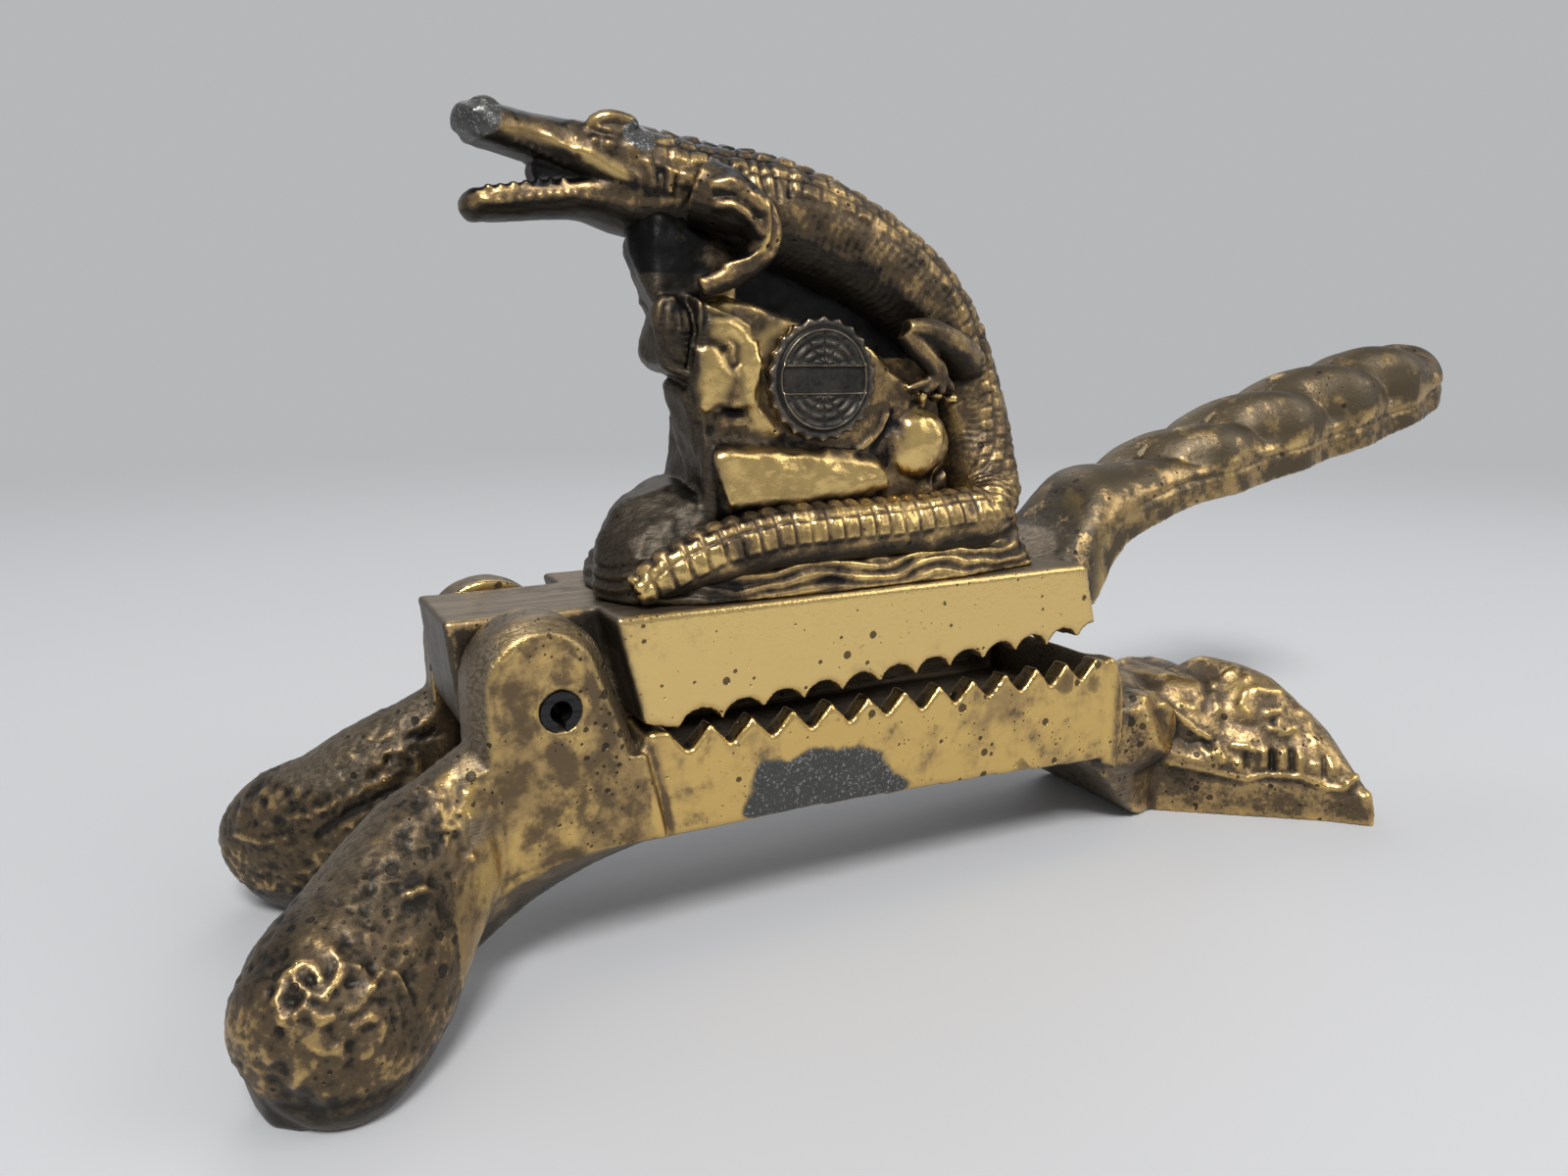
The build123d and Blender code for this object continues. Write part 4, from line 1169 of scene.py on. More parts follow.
@dataclass
class BaseCasting(Casting):
    """Toothed trough with its cheeks, nut-shaped front feet and half-nut rear feet.

    The place and radii of the grey patch are in pixels of the view. The ring is the near front sole's plan,
    and the arc is the side view of the trough's end wall.
    """

    piece: str = "base_casting_skin"
    body: str = "base"
    slot: str = "base_brass"
    node: str = "base_casting"
    grain: float = 0.4
    jaw_half: float = 15.6
    tooth_root: float = 29.0
    net_size: float = 3.1
    net_depth: Flat = (0.34, 0.5)
    sole_height: float = 4.5
    sole_flare: float = 1.0
    foot_end: float = -8.0
    rear_foot_start: float = 86.0
    crown_rise: float = 3.3
    grey_place: Flat = (846.0, 812.0)
    grey_radii: Flat = (96.0, 56.0)
    side_start: float = -14.0
    ring_middle: Flat = (-26.5, -18.5)
    ring: tuple[float, ...] = (
        -33.0, -18, -34.6, -21, -33.3, -25.2, -30.6, -27.4, -27.3, -27.8, -23.7, -25, -19.8, -18,
        -20.5, -15.2, -25.5, -14.6, -30, -15,
    )
    end_arc: tuple[float, ...] = (
        84.2, 29.4, 84.9, 30.2, 86.2, 29.2, 87.4, 26.6, 88.1, 22.5, 88.2, 17.0, 87.2, 11.5, 84.2, 13.0,
    )

    def soles(self) -> list[Shape]:
        """Smooth flared sole of the near front foot."""
        ring = pairs(self.ring)
        left, low = self.ring_middle
        corners: list[Point] = [(x, y, 0.0) for x, y in ring]
        for x, y in ring:
            grow = 1 + self.sole_flare / math.hypot(x - left, y - low)
            corners.append((left + (x - left) * grow, low + (y - low) * grow, self.sole_height))
        return [boulder(corners, 0.6)]

    def haunches(self) -> list[Shape]:
        """Rounded end wall of the trough, and the fillets between it and the rear feet."""
        half = self.jaw_half
        wall = boulder([(x, y, z) for x, z in pairs(self.end_arc) for y in (-half, half)], 0.6)
        near = ball((94.5, -9.4, 14.6), (11.0, 4.6, 7.2))
        return [wall, near, mirrored(near)]

    def reshape(self, skin: Skin) -> None:
        """Draws the rear end and the rear feet to their cast shapes, with the crown on the near foot only.

        Args:
            skin: The casting.
        """
        points = skin.points
        x, y, z = points.T
        out = np.abs(y)
        knob = window(x, 84.0, 88.0, 114.0, 120.0) * ramp(13.0, 9.0, out)
        highest = np.interp(x, [88.0, 104.0, 110.0, 116.0], [22.4, 21.8, 20.8, 19.6])
        points[:, 2] -= knob * np.maximum(z - highest, 0.0) * 0.9
        crown = window(x, 112.0, 119.0, 123.0, 131.5) * ramp(22.0, 13.0, -y) * ramp(4.0, -4.0, y)
        points[:, 2] += self.crown_rise * crown * ramp(6.0, 15.0, z)
        points[:, 0] -= 1.7 * ramp(122.0, 131.0, x) * ramp(18.0, 26.0, out)
        skin.settle()

    def net(self, points: Array) -> Array:
        """Fine net and pits of a nut's shell, as heights in millimetres."""
        warped = points + 2.2 * soft_noise(points, 6.0, 3.0)[:, None]
        near, second = cells(warped, self.net_size, 7.3)
        ridge = np.exp(-(((second - near) / 0.17) ** 2))
        pit = ramp(0.5, 0.12, near)
        amount = 0.5 + 0.5 * soft_noise(points, 8.0, 1.0)
        raised, sunk = self.net_depth
        return (raised * ridge - sunk * pit) * np.maximum(amount, 0.12)

    def sculpt(self) -> Skin:
        """Pours the casting and works its surface.

        Returns:
            The finished skin with its wear.
        """
        skin = Skin(pour([cad_copy(self.node), *self.soles(), *self.haunches()], self.grain))
        points = skin.points
        teeth = (points[:, 2] > self.tooth_root) & (np.abs(points[:, 1]) > TOOTH_INNER)
        skin.soften(4)
        skin.soften(10, teeth.astype(float))
        joint = window(points[:, 0], 85.5, 88.5, 100.0, 106.0)
        skin.soften(50, joint * ramp(0.3, 2.0, points[:, 2]))
        self.reshape(skin)
        x, y, z = points.T
        ground = skin.sides(self.jaw_half, self.side_start, self.rear_foot_start)
        front = ramp(self.foot_end, self.foot_end - 5.0, x)
        rear = ramp(self.rear_foot_start, self.rear_foot_start + 4.0, x)
        sole = front * ramp(self.sole_height + 0.2, self.sole_height - 0.6, z)
        shell = front * (1 - sole)
        heights = np.zeros(len(points))
        nutty = np.flatnonzero(shell > TRACE)
        places = points[nutty]
        _, facing = SIGHT.pixels(places, skin.normals[nutty], True)
        own = (0.75 - 0.4 * facing) * ramp(-9.0, -18.0, x[nutty] + 0.4 * (22.0 - z[nutty]))
        heights[nutty] = self.net(places) * own * shell[nutty]
        uneven = np.ones(len(points))
        uneven[nutty] = 0.75 + 0.6 * soft_noise(places, 1.7, 15.0)
        drawn = shell * ((y < 0) | (skin.normals[:, 1] > 0.2))
        heights += uneven * SIGHT.relief(skin, FRONT_FOOT_MARKS, drawn)
        near, second = cells(places + soft_noise(places, 3.0, 17.0)[:, None], 1.9, 19.3)
        fine = 0.1 * np.exp(-(((second - near) / 0.2) ** 2)) - 0.13 * ramp(0.4, 0.1, near)
        heights[nutty] += shell[nutty] * fine
        heights += SIGHT.relief(skin, FAR_FOOT_MARKS, shell * (y > 3.0), mirror=False)
        heights += 0.75 * SIGHT.relief(skin, REAR_FOOT_MARKS, rear)
        heights += 0.8 * SIGHT.relief(skin, CHEEK_MARKS, ((x > 0) & (x < 40)).astype(float))
        rough = 0.09 * soft_noise(points, 2.2, 5.0) + 0.09 * soft_noise(points, 5.0, 11.0)
        heights += (1.0 - ground) * (1 - 0.7 * sole) * rough
        seam = np.exp(-(((z - self.sole_height) / 0.5) ** 2)) * front
        heights += 0.05 * soft_noise(points, 9.0, 9.0) - 0.15 * seam
        heights *= ramp(0.2, 1.2, z)
        skin.raise_by(heights)
        self.wear_and_light(skin, ground, front, sole)
        return skin

    def wear_and_light(self, skin: Skin, ground: Array, front: Array, sole: Array) -> None:
        """Paints the casting's wear, with painted shade under it and in its trough, and painted highlights on
        the cheek's step and near bevel.

        Args:
            skin: The casting.
            ground: 1 on the ground side faces.
            front: 1 on the front feet and their legs.
            sole: 1 on the soles' smooth bands.
        """
        points, normals = skin.points, skin.normals
        x, y, z = points.T
        out = np.abs(y)
        rear = ramp(self.rear_foot_start, self.rear_foot_start + 4.0, x)
        ridge = skin.ridges(0.45, (1.3, 6), (0.28, 60), (0.12, 6.0, 51.0))
        # Downward faces are darkened as painted shade, in the relief value and in the tarnish film.
        under = ramp(-0.25, -0.65, normals[:, 2])
        leg = ramp(-9.0, -14.0, x) * ramp(13.0, 19.0, z)
        ridge = ridge - 0.45 * under + 0.05 * rear - 0.06 * front - 0.16 * sole - 0.08 * leg
        cheek = ramp(15.0, 9.0, x) * ramp(26.0, 18.0, z) * (1 - front)
        cheek = np.maximum(cheek, ramp(12.5, 9.0, x) * (1 - front))
        # The cheek's step line is also painted: a painted highlight along its raised edge and painted shade in
        # its groove.
        step = SIGHT.relief(skin, CHEEK_MARKS, ground)
        clean = 0.56 - 0.26 * cheek + 0.1 * soft_noise(points, 14.0, 53.0) + 1.2 * step
        clean += cheek * (0.05 * soft_noise(points, 3.4, 55.0) + 0.4 * soft_noise(points, 0.8, 59.0))
        # Bevels along the ground sides are polished; at the cheeks only the near bevel is, as a painted
        # highlight.
        bevel = skin.bevels() * (out > self.jaw_half - 1.2) * (x > self.side_start)
        bevel *= (x < 84) * ((y < 0) | (x > 12))
        clean = clean + 0.5 * bevel
        values = ridge * (1 - ground) + clean * ground
        # inner is the trough between the jaws: its dull tarnish film is deepened there as painted shade.
        inner = (out < 12.9) & (x > 12) & (x < 95)
        ear_rim = (out > 9.0) & (x > -12) & (x < 12) & (z > 22) & (ground < 0.5)
        aside = ramp(-0.2, -0.6, normals[:, 0]) * (x < 0) * (z > 20)
        wall = (x > 80.5) * (out < 14.6) * (z > 22.6) * (x < 89) * (1 - ground)
        tarnish_and_shade = np.maximum.reduce([under * 0.35, inner * 0.95, ear_rim * 0.75, aside, wall])
        flat, facing = SIGHT.pixels(points, normals, True)
        away = np.hypot(*((flat - self.grey_place) / self.grey_radii).T)
        grey = (y < 0) * facing * (x > 20) * (x < 70)
        grey = grey * ramp(1.15, 0.6, away + 0.25 * soft_noise(points, 4.0, 57.0))
        polish = np.maximum(ground, 0.7 * bevel)
        skin.paint(polish, skin.spread(values, 1), skin.spread(tarnish_and_shade, 4), skin.spread(grey, 3))


@dataclass
class LeverCasting(Casting):
    """Plate with toothed skirts, hinge tongue and the twisted grip."""

    piece: str = "lever_casting_skin"
    body: str = "lever"
    slot: str = "lever_brass"
    node: str = "lever_casting"
    grain: float = 0.4
    half_width: float = 15.6
    tooth_root: float = 40.0
    plain_edge: float = 82.5
    grip_start: float = 86.0
    grip_drop: float = 1.0
    lobe_pitch: float = 15.53
    first_groove: float = 101.6
    groove_slant: float = 9.0
    groove_depth: float = 0.9
    strip_edge: tuple[float, ...] = (
        90.0, 50.0, 97.5, 52.1, 103.8, 54.0, 114.8, 55.9, 126.5, 58.2, 138.8, 60.7, 151.9, 63.3, 165.6, 66.5,
        169.4, 68.6, 174.0, 70.0,
    )

    def grooves(self, skin: Skin, strip: Array) -> Array:
        """Depth of the twisted grooves that part the lobes.

        Args:
            skin: The casting.
            strip: Height of the plain strip's upper edge at each point.

        Returns:
            Heights in millimetres, none above 0.
        """
        x, y, z = skin.points.T
        side = np.clip(-y / 8.3, -1.0, 1.0)
        top = np.interp(x, [97.9, 127.1, 161.0], [60.2, 69.8, 77.9])
        down = np.clip((top - z) / np.maximum(top - strip, 1.0), 0.0, 1.0)
        slant = self.groove_slant * np.sign(side) * np.minimum(np.abs(side) ** 1.2 * 0.6 + down * 0.5, 1.0)
        phase = (x - self.first_groove - slant) / self.lobe_pitch
        share = np.abs(2 * (phase - np.floor(phase)) - 1)
        live = (phase > -0.55) & (phase < 4.55)
        above = ramp(0.5, 3.5, z - strip)
        fade = window(x, 92.0, 97.0, 167.0, 173.0)
        return np.where(live, -self.groove_depth * share**3, 0.0) * above * fade

    def sculpt(self) -> Skin:
        """Pours the lever and works its surface.

        Returns:
            The finished skin with its wear.
        """
        skin = Skin(pour([cad_copy(self.node)], self.grain))
        points = skin.points
        teeth = (points[:, 2] < self.tooth_root) & (np.abs(points[:, 1]) > TOOTH_INNER)
        teeth &= points[:, 0] < 84
        grip = ramp(self.grip_start, self.grip_start + 6.0, points[:, 0])
        skin.soften(4)
        skin.soften(8, np.maximum(teeth.astype(float), 0.5 * grip))
        skin.soften(14, ramp(11.0, 7.0, points[:, 0]))
        x, _, z = points.T
        points[:, 2] -= self.grip_drop * ramp(90.0, 98.0, x) * ramp(172.0, 150.0, x)
        strip = np.interp(x, *zip(*pairs(self.strip_edge)))
        on_side = ramp(0.3, 0.6, np.abs(skin.normals[:, 1]))
        crease = np.exp(-(((z - strip) / 0.6) ** 2)) * ramp(93.0, 98.0, x) * on_side
        heights = -0.3 * crease + self.grooves(skin, strip)
        ground = skin.sides(self.half_width, -math.inf, self.plain_edge)
        heights += (1 - ground) * 0.05 * soft_noise(points, 2.4, 15.0) + 0.05 * soft_noise(points, 10.0, 19.0)
        heights += grip * 0.12 * soft_noise(points, 4.0, 23.0)
        skin.raise_by(heights)
        self.wear_and_light(skin, ground, strip)
        return skin

    def wear_and_light(self, skin: Skin, ground: Array, strip: Array) -> None:
        """Paints the lever's wear, with painted shade between its skirts and under its overhangs.

        Args:
            skin: The casting.
            ground: 1 on the ground side faces.
            strip: Height of the grip's plain strip at each point.
        """
        x, y, z = skin.points.T
        ahead, across, upward = skin.normals.T
        out, across = np.abs(y), np.abs(across)
        on_grip = ramp(self.grip_start - 2.0, self.grip_start + 4.0, x)
        band = on_grip * ramp(0.4, -0.4, z - strip) * ramp(0.6, 0.85, across)
        ridge = skin.ridges(0.44, (1.0, 8), (0.16, 90), (0.12, 5.0, 61.0))
        low_flank = ramp(6.5, 1.5, z - strip) * on_grip * (across > 0.3)
        ridge = ridge + 0.06 * low_flank - 0.04 * on_grip - 0.1 * (x < 10) - 0.25 * (x < 10) * (ahead < -0.3)
        clean = 0.62 + 0.08 * soft_noise(skin.points, 16.0, 63.0) - 0.52 * band - 0.45 * (x < 7.5)
        bevel = skin.bevels() * (out > self.half_width - 1.2) * (x > 14) * (x < 82)
        above = (upward > 0.8) & (x < 84)
        inner = (out < 13.2) & (x > 8) & (x < 80) & (z < 41)
        front = ((ahead < -0.4) & (x < 16)) | ((x < 7.5) & (across < 0.9))
        # The dull film covers the brushed top faces and the front block as tarnish, and the channel between
        # the skirts and downward faces as painted shade.
        tarnish_and_shade = np.maximum.reduce([above * 1.0, inner * 0.95, front * 0.3, (upward < -0.7) * 0.7])
        tarnish_and_shade = tarnish_and_shade * (1 - band)
        polish = np.maximum.reduce([ground, 0.9 * band, 0.7 * bevel])
        smooth = 0.92 * on_grip * (1 - band) * (1 - tarnish_and_shade)
        worn = -0.4 + 0.62 * low_flank + 0.1 * soft_noise(skin.points, 9.0, 67.0) + 0.4 * skin.proud(30)
        values = ridge * (1 - polish) + (clean + 0.3 * bevel) * polish
        values = values * (1 - smooth) + worn * smooth
        polish = np.maximum(polish, smooth)
        skin.paint(polish, skin.spread(values, 1), skin.spread(tarnish_and_shade, 3), np.zeros(len(x)))


@dataclass
class Reptile(Casting):
    """Reptile that lies over the rock with its jaws open and its tail along the near side."""

    piece: str = "reptile"
    body: str = "lever"
    slot: str = "figure_brass"
    node: str = "figure_casting"
    grain: float = 0.26
    neck_pitch: float = 2.6
    rump_pitch: float = 2.1
    keel_spacing: float = 2.5
    rib_pitch: float = 1.15
    tail_pitch: float = 2.3
    tail_start: float = 82.0
    far_hand_back: float = 4.5
    brow: tuple[Point, Point] = ((12.6, 3.6, 99.9), (3.3, 1.7, 1.9))
    nostril: tuple[Point, Point] = ((-1.6, 1.5, 101.4), (1.7, 1.3, 1.2))
    bead_places: tuple[float, ...] = (
        -3.2, 92.2, -1.9, 92.6, -0.5, 92.8, 0.9, 93.1, 2.3, 93.3, 3.7, 93.5, 5.1, 93.7, 6.5, 93.9,
    )

    def body_rows(self) -> list[tuple[float, ...]]:
        """Sections from the throat over the back to the tail's tip."""
        return [
            (14.0, 0.0, 94.8, 6.2, 5.4, 0.1, 0.0, 1.0), (18.9, 0.0, 94.2, 6.8, 6.4, 0.1, 0.0, 1.0),
            (24.9, 0.0, 93.0, 7.9, 6.9, 0.15, 0.0, 1.0), (32.5, 0.0, 91.8, 8.8, 7.4, 0.2, 0.0, 1.0),
            (40.9, 0.0, 89.4, 9.3, 7.7, 0.3, 0.0, 1.0), (49.5, 0.0, 85.5, 9.2, 7.7, 0.5, 0.0, 1.0),
            (57.3, 0.0, 80.2, 8.7, 7.5, 0.8, 0.0, 0.8), (62.3, -0.5, 73.6, 7.6, 6.9, 1.0, 0.0, 0.5),
            (65.0, -2.0, 66.5, 6.6, 6.3, 1.0, 0.0, 0.2), (65.6, -5.0, 59.8, 5.7, 5.7, 1.0, -0.1, 0.1),
            (64.6, -8.5, 54.8, 4.9, 5.0, 0.8, -0.2, 0.6), (62.0, -11.2, 52.7, 4.2, 4.4, 0.2, -0.1, 1.0),
            (55.5, -12.2, 52.2, 3.6, 4.1, 0.0, 0.0, 1.0), (46.0, -12.6, 52.1, 3.2, 3.8, 0.0, 0.0, 1.0),
            (35.9, -12.8, 52.1, 3.0, 3.8, 0.0, 0.0, 1.0), (27.0, -12.8, 51.7, 2.8, 3.7, 0.0, 0.0, 1.0),
            (19.9, -12.6, 50.3, 2.6, 3.5, 0.0, 0.0, 1.0), (14.5, -12.3, 48.6, 2.2, 2.8, -0.2, 0.0, 1.0),
            (11.0, -12.0, 47.0, 1.4, 1.7, -0.3, 0.0, 1.0),
        ]

    def flat_below(self, turn: float) -> Flat:
        """Section of the upper jaw: round above, nearly flat below."""
        across, upward = math.cos(turn), math.sin(turn)
        if upward >= 0:
            return (across, upward)
        return (math.copysign(abs(across) ** 0.45, across), -(abs(upward) ** 0.6))

    def flat_above(self, turn: float) -> Flat:
        """Section of the lower jaw: nearly flat above, round below."""
        across, upward = self.flat_below(-turn)
        return (across, -upward)

    def jaw(self, rows: Table, outline: Callable[[float], Flat]) -> Shape:
        """Half of the snout in the middle plane.

        Args:
            rows: x, z, half width and half height of each section.
            outline: Shape of its sections.

        Returns:
            A closed shape.
        """
        return Spine([(x, 0, z, wide, high, 0, 0, 1) for x, z, wide, high in rows]).tube(32, outline)

    def upper_jaw(self) -> Shape:
        """Snout and skull."""
        rows = (
            (-4.7, 99.6, 1.3, 0.7), (-4.0, 99.9, 2.6, 1.7), (-2.4, 100.0, 3.5, 2.2), (0.4, 99.6, 3.6, 2.4),
            (3.6, 99.0, 3.8, 2.5), (7.0, 98.4, 4.5, 2.9), (10.5, 97.6, 5.5, 3.6), (14.0, 97.0, 6.2, 4.6),
            (18.0, 95.6, 6.8, 5.3), (22.0, 94.4, 7.0, 5.8),
        )
        return self.jaw(rows, self.flat_below)

    def lower_jaw(self) -> Shape:
        """Lower jaw and throat."""
        rows = (
            (-4.5, 90.9, 1.2, 0.6), (-3.8, 90.9, 2.5, 1.5), (-2.2, 91.1, 3.4, 1.8), (1.9, 91.6, 3.8, 2.0),
            (5.9, 92.0, 4.4, 2.0), (10.0, 92.3, 5.2, 2.3), (14.0, 92.2, 6.0, 3.4), (19.0, 92.2, 6.5, 4.2),
        )
        return self.jaw(rows, self.flat_above)

    def gullet(self) -> Shape:
        """Web at the back of the open mouth."""
        near = (3.4, -1.6, 95.2, 4.2, -2.2, 92.5, 4.2, -2.2, 98, 11, -3.8, 98, 11, -3.8, 91.5, 16, -4, 95)
        return boulder(both(triples(near)))

    def limbs(self) -> list[Shape]:
        """The four legs, with the toes of the hind feet."""
        sideways = (0, -1, 0)
        legs = (
            ((22.5, -6.3, 93.5, 4.0, 4.0), (25.5, -8.6, 92.0, 3.5, 3.5), (28.2, -9.8, 90.0, 2.7, 2.9),
             (28.9, -10.2, 87.6, 2.1, 2.2), (27.6, -10.2, 85.6, 1.7, 1.8), (25.2, -10.1, 84.0, 1.6, 1.6),
             (22.8, -9.8, 82.9, 1.4, 1.3), (20.8, -9.5, 82.2, 1.2, 0.9)),
            ((64.0, -3.0, 73.0, 3.1, 4.1), (60.0, -7.5, 74.2, 2.9, 3.4), (55.8, -10.3, 76.2, 2.2, 2.5),
             (52.0, -11.2, 77.6, 1.7, 1.8), (49.0, -11.2, 77.8, 1.2, 1.3)),
            ((48.9, -10.9, 77.4, 1.2, 1.3), (50.8, -11.3, 75.4, 1.4, 1.4), (52.8, -11.4, 73.6, 1.4, 1.3),
             (54.2, -11.3, 71.9, 1.5, 1.1), (54.4, -11.0, 70.6, 1.4, 0.9)),
        )
        toes = (
            ((53.4, -11.4, 71.2), (49.2, -11.3, 70.2)), ((53.8, -11.6, 71.0), (51.7, -11.6, 69.6)),
            ((54.4, -11.6, 71.0), (54.7, -11.6, 69.4)), ((55.0, -11.4, 71.4), (56.8, -11.2, 69.8)),
        )
        shapes = [Spine([(*row, *sideways) for row in rows]).tube(20) for rows in legs]
        for root, tip in toes:
            middle = [(a + b) / 2 for a, b in zip(root, tip)]
            sizes = ((root, 0.75, 0.7), (middle, 0.65, 0.65), (tip, 0.35, 0.35))
            shapes.append(Spine([(*spot, wide, high, *sideways) for spot, wide, high in sizes]).tube(10))
        far = [mirrored(shape) for shape in shapes]
        bmesh.ops.translate(far[0], verts=far[0].verts, vec=(self.far_hand_back, 0.0, 0.0))
        return shapes + far

    def teeth(self) -> list[Shape]:
        """Small bead-like teeth along the lower jaw."""
        beads = []
        for x, z in pairs(self.bead_places):
            out = 3.0 + 0.1 * max(x, 0.0) - (0.8 if x < -2 else 0.0)
            for side in Side:
                beads.append(ball((x, side.value * out, z), (0.5, 0.45, 0.5)))
        return beads

    def scales(self, skin: Skin, spine: Spine, head: Array) -> tuple[Array, Array]:
        """Height of the scales at each point.

        Args:
            skin: The reptile.
            spine: Its body's line.
            head: 1 on the head.

        Returns:
            Heights in millimetres, and 1 on the dark lower flank.
        """
        mark, turn, radius, out = spine.nearest(skin.points)
        arc = np.abs(turn) * radius
        on_body = ramp(1.3, 1.1, out) * (1 - head)
        tail = ramp(self.tail_start - 5, self.tail_start + 5, mark)
        ruler = np.linspace(0.0, spine.length, 400)
        pitches = [self.neck_pitch, self.neck_pitch, self.rump_pitch, self.tail_pitch]
        pitch = np.interp(ruler, [0.0, 20.0, 70.0, self.tail_start], pitches)
        count = np.interp(mark, ruler, np.concatenate([[0.0], np.cumsum(np.diff(ruler) / pitch[1:])]))

        def bumps(row: Array, shift: float, reach: float, wide: float) -> Array:
            """Pointed scales of one row, whose middle lies at row = 0."""
            along = count + shift
            along = along - np.floor(along) - 0.5
            return ramp(1.0, 0.5, np.abs(along) / reach) * ramp(1.0, 0.35, np.abs(row) / wide)

        uneven = 0.65 + 0.5 * soft_noise(skin.points, 2.3, 2.0)
        saw = 1 - np.abs(2 * (count - np.floor(count)) - 1) ** 2.2
        crown = np.exp(-((arc / 1.3) ** 2))
        crest = crown * ((1 - tail) * (0.36 * saw + 0.1) + tail * (0.45 * saw + 0.1))
        keels = np.zeros(len(mark))
        rump = 1 - 0.4 * ramp(52.0, 62.0, mark)
        for row in range(1, 6):
            near = bumps(arc - row * self.keel_spacing, 0.5 * (row % 2), 0.52, 1.3)
            keels = np.maximum(keels, near * (0.7 - 0.06 * row) * rump)
        flank = ramp(10.2, 12.2, arc) * (1 - tail)
        ribs = -0.05 * (1 + np.cos(2 * math.pi * (mark + 0.5 * np.sin(arc)) / self.rib_pitch))
        upper = bumps(arc - 1.9, 0.5, 0.5, 0.85) * 0.45
        along = np.abs(2 * (count + 0.5 - np.floor(count + 0.5)) - 1)
        tall = ramp(0.93, 0.6, along) * ramp(2.4, 3.0, arc) * ramp(6.2, 5.4, arc) * 0.5
        tail_side = np.maximum(upper, tall)
        back = keels * (1 - flank) + flank * ribs
        heights = crest + (1 - tail) * back * uneven + tail * tail_side * uneven
        return heights * on_body, flank * on_body

    def sculpt(self) -> Skin:
        """Models the reptile.

        Returns:
            The finished skin with its wear.
        """
        spine = Spine(self.body_rows())
        shapes = [spine.tube(36), self.upper_jaw(), self.lower_jaw(), self.gullet()]
        shapes += self.limbs() + self.teeth()
        for side in Side:
            for (x, y, z), radii in (self.brow, self.nostril):
                shapes.append(ball((x, side.value * y, z), radii))
        skin = Skin(pour(shapes, self.grain))
        skin.soften(4)
        x, y, z = skin.points.T
        head = ramp(19.5, 15.0, x) * ramp(87.0, 89.5, z)
        heights, flank = self.scales(skin, spine, head)
        face = ramp(27.0, 23.0, x) * ramp(87.0, 89.5, z)
        heights += 0.75 * SIGHT.relief(skin, FACE_MARKS, face)
        shoulder = window(x, 18.0, 21.0, 42.0, 48.0) * (z > 80)
        drawn = SIGHT.relief(skin, LIMB_MARKS, shoulder)
        on_leg = ramp(7.6, 8.6, np.abs(y)) * shoulder * (x < 34)
        heights = heights * (1 - 0.8 * on_leg) + drawn
        heights += 0.06 * soft_noise(skin.points, 1.3, 21.0) + 0.07 * soft_noise(skin.points, 3.0, 27.0)
        skin.raise_by(heights)
        self.wear_and_light(skin, head, flank)
        return skin

    def wear_and_light(self, skin: Skin, head: Array, flank: Array) -> None:
        """Paints the reptile's wear, with painted shade under it and in its mouth, and painted highlights on
        its flanks and behind its eye.

        Args:
            skin: The reptile.
            head: 1 on the head.
            flank: 1 on the dark lower flank.
        """
        x, y, z = skin.points.T
        out, across, upward = np.abs(y), np.abs(skin.normals[:, 1]), skin.normals[:, 2]
        ridge = skin.ridges(0.42, (1.4, 5), (0.26, 50), (0.2, 2.8, 81.0))
        # Faces that slant between up and out are lifted toward gold as a painted highlight along the flanks.
        sideways = np.exp(-(((across - 0.75) / 0.3) ** 2))
        # Downward faces are darkened as painted shade, in the relief value and lightly in the tarnish film.
        under = ramp(-0.15, -0.6, upward)
        ridge = ridge + 0.1 * sideways - 0.42 * under - 0.03 * flank + 0.1 * (z < 58)
        ridge -= 0.26 * ramp(0.45, 0.85, upward) * ramp(40.0, 30.0, x)
        # Inside the open mouth and across its web the colour is darkened as painted shade.
        mouth = (out < 4.2) * (x < 13) * (z > 92.0) * (z < 97.3) * (across < 0.75)
        web = (out < 4.0) * (x > 2.8) * (x < 13) * (z > 93.0) * (z < 97.0)
        ridge = ridge - 0.4 * np.maximum(mouth, web) * head
        gold = 0.6 * SIGHT.patches(skin, FACE_GOLD, ramp(27.0, 23.0, x), 4.0)
        # The snout's tip is worn grey; the grey patch behind the eye is worn grey metal and a painted
        # highlight together.
        tip = np.hypot(x + 2.6, (z - 100.8)) < 3.0
        behind_eye = np.hypot(x - 15.2, (z - 99.2) * 1.1) < 2.1
        grey = skin.spread((tip * 0.6 + behind_eye * 0.8).astype(float), 6)
        ridge = ridge * (1 - gold) + 0.55 * gold
        skin.paint(gold, skin.spread(ridge, 1), skin.spread(under * 0.2, 3), grey)


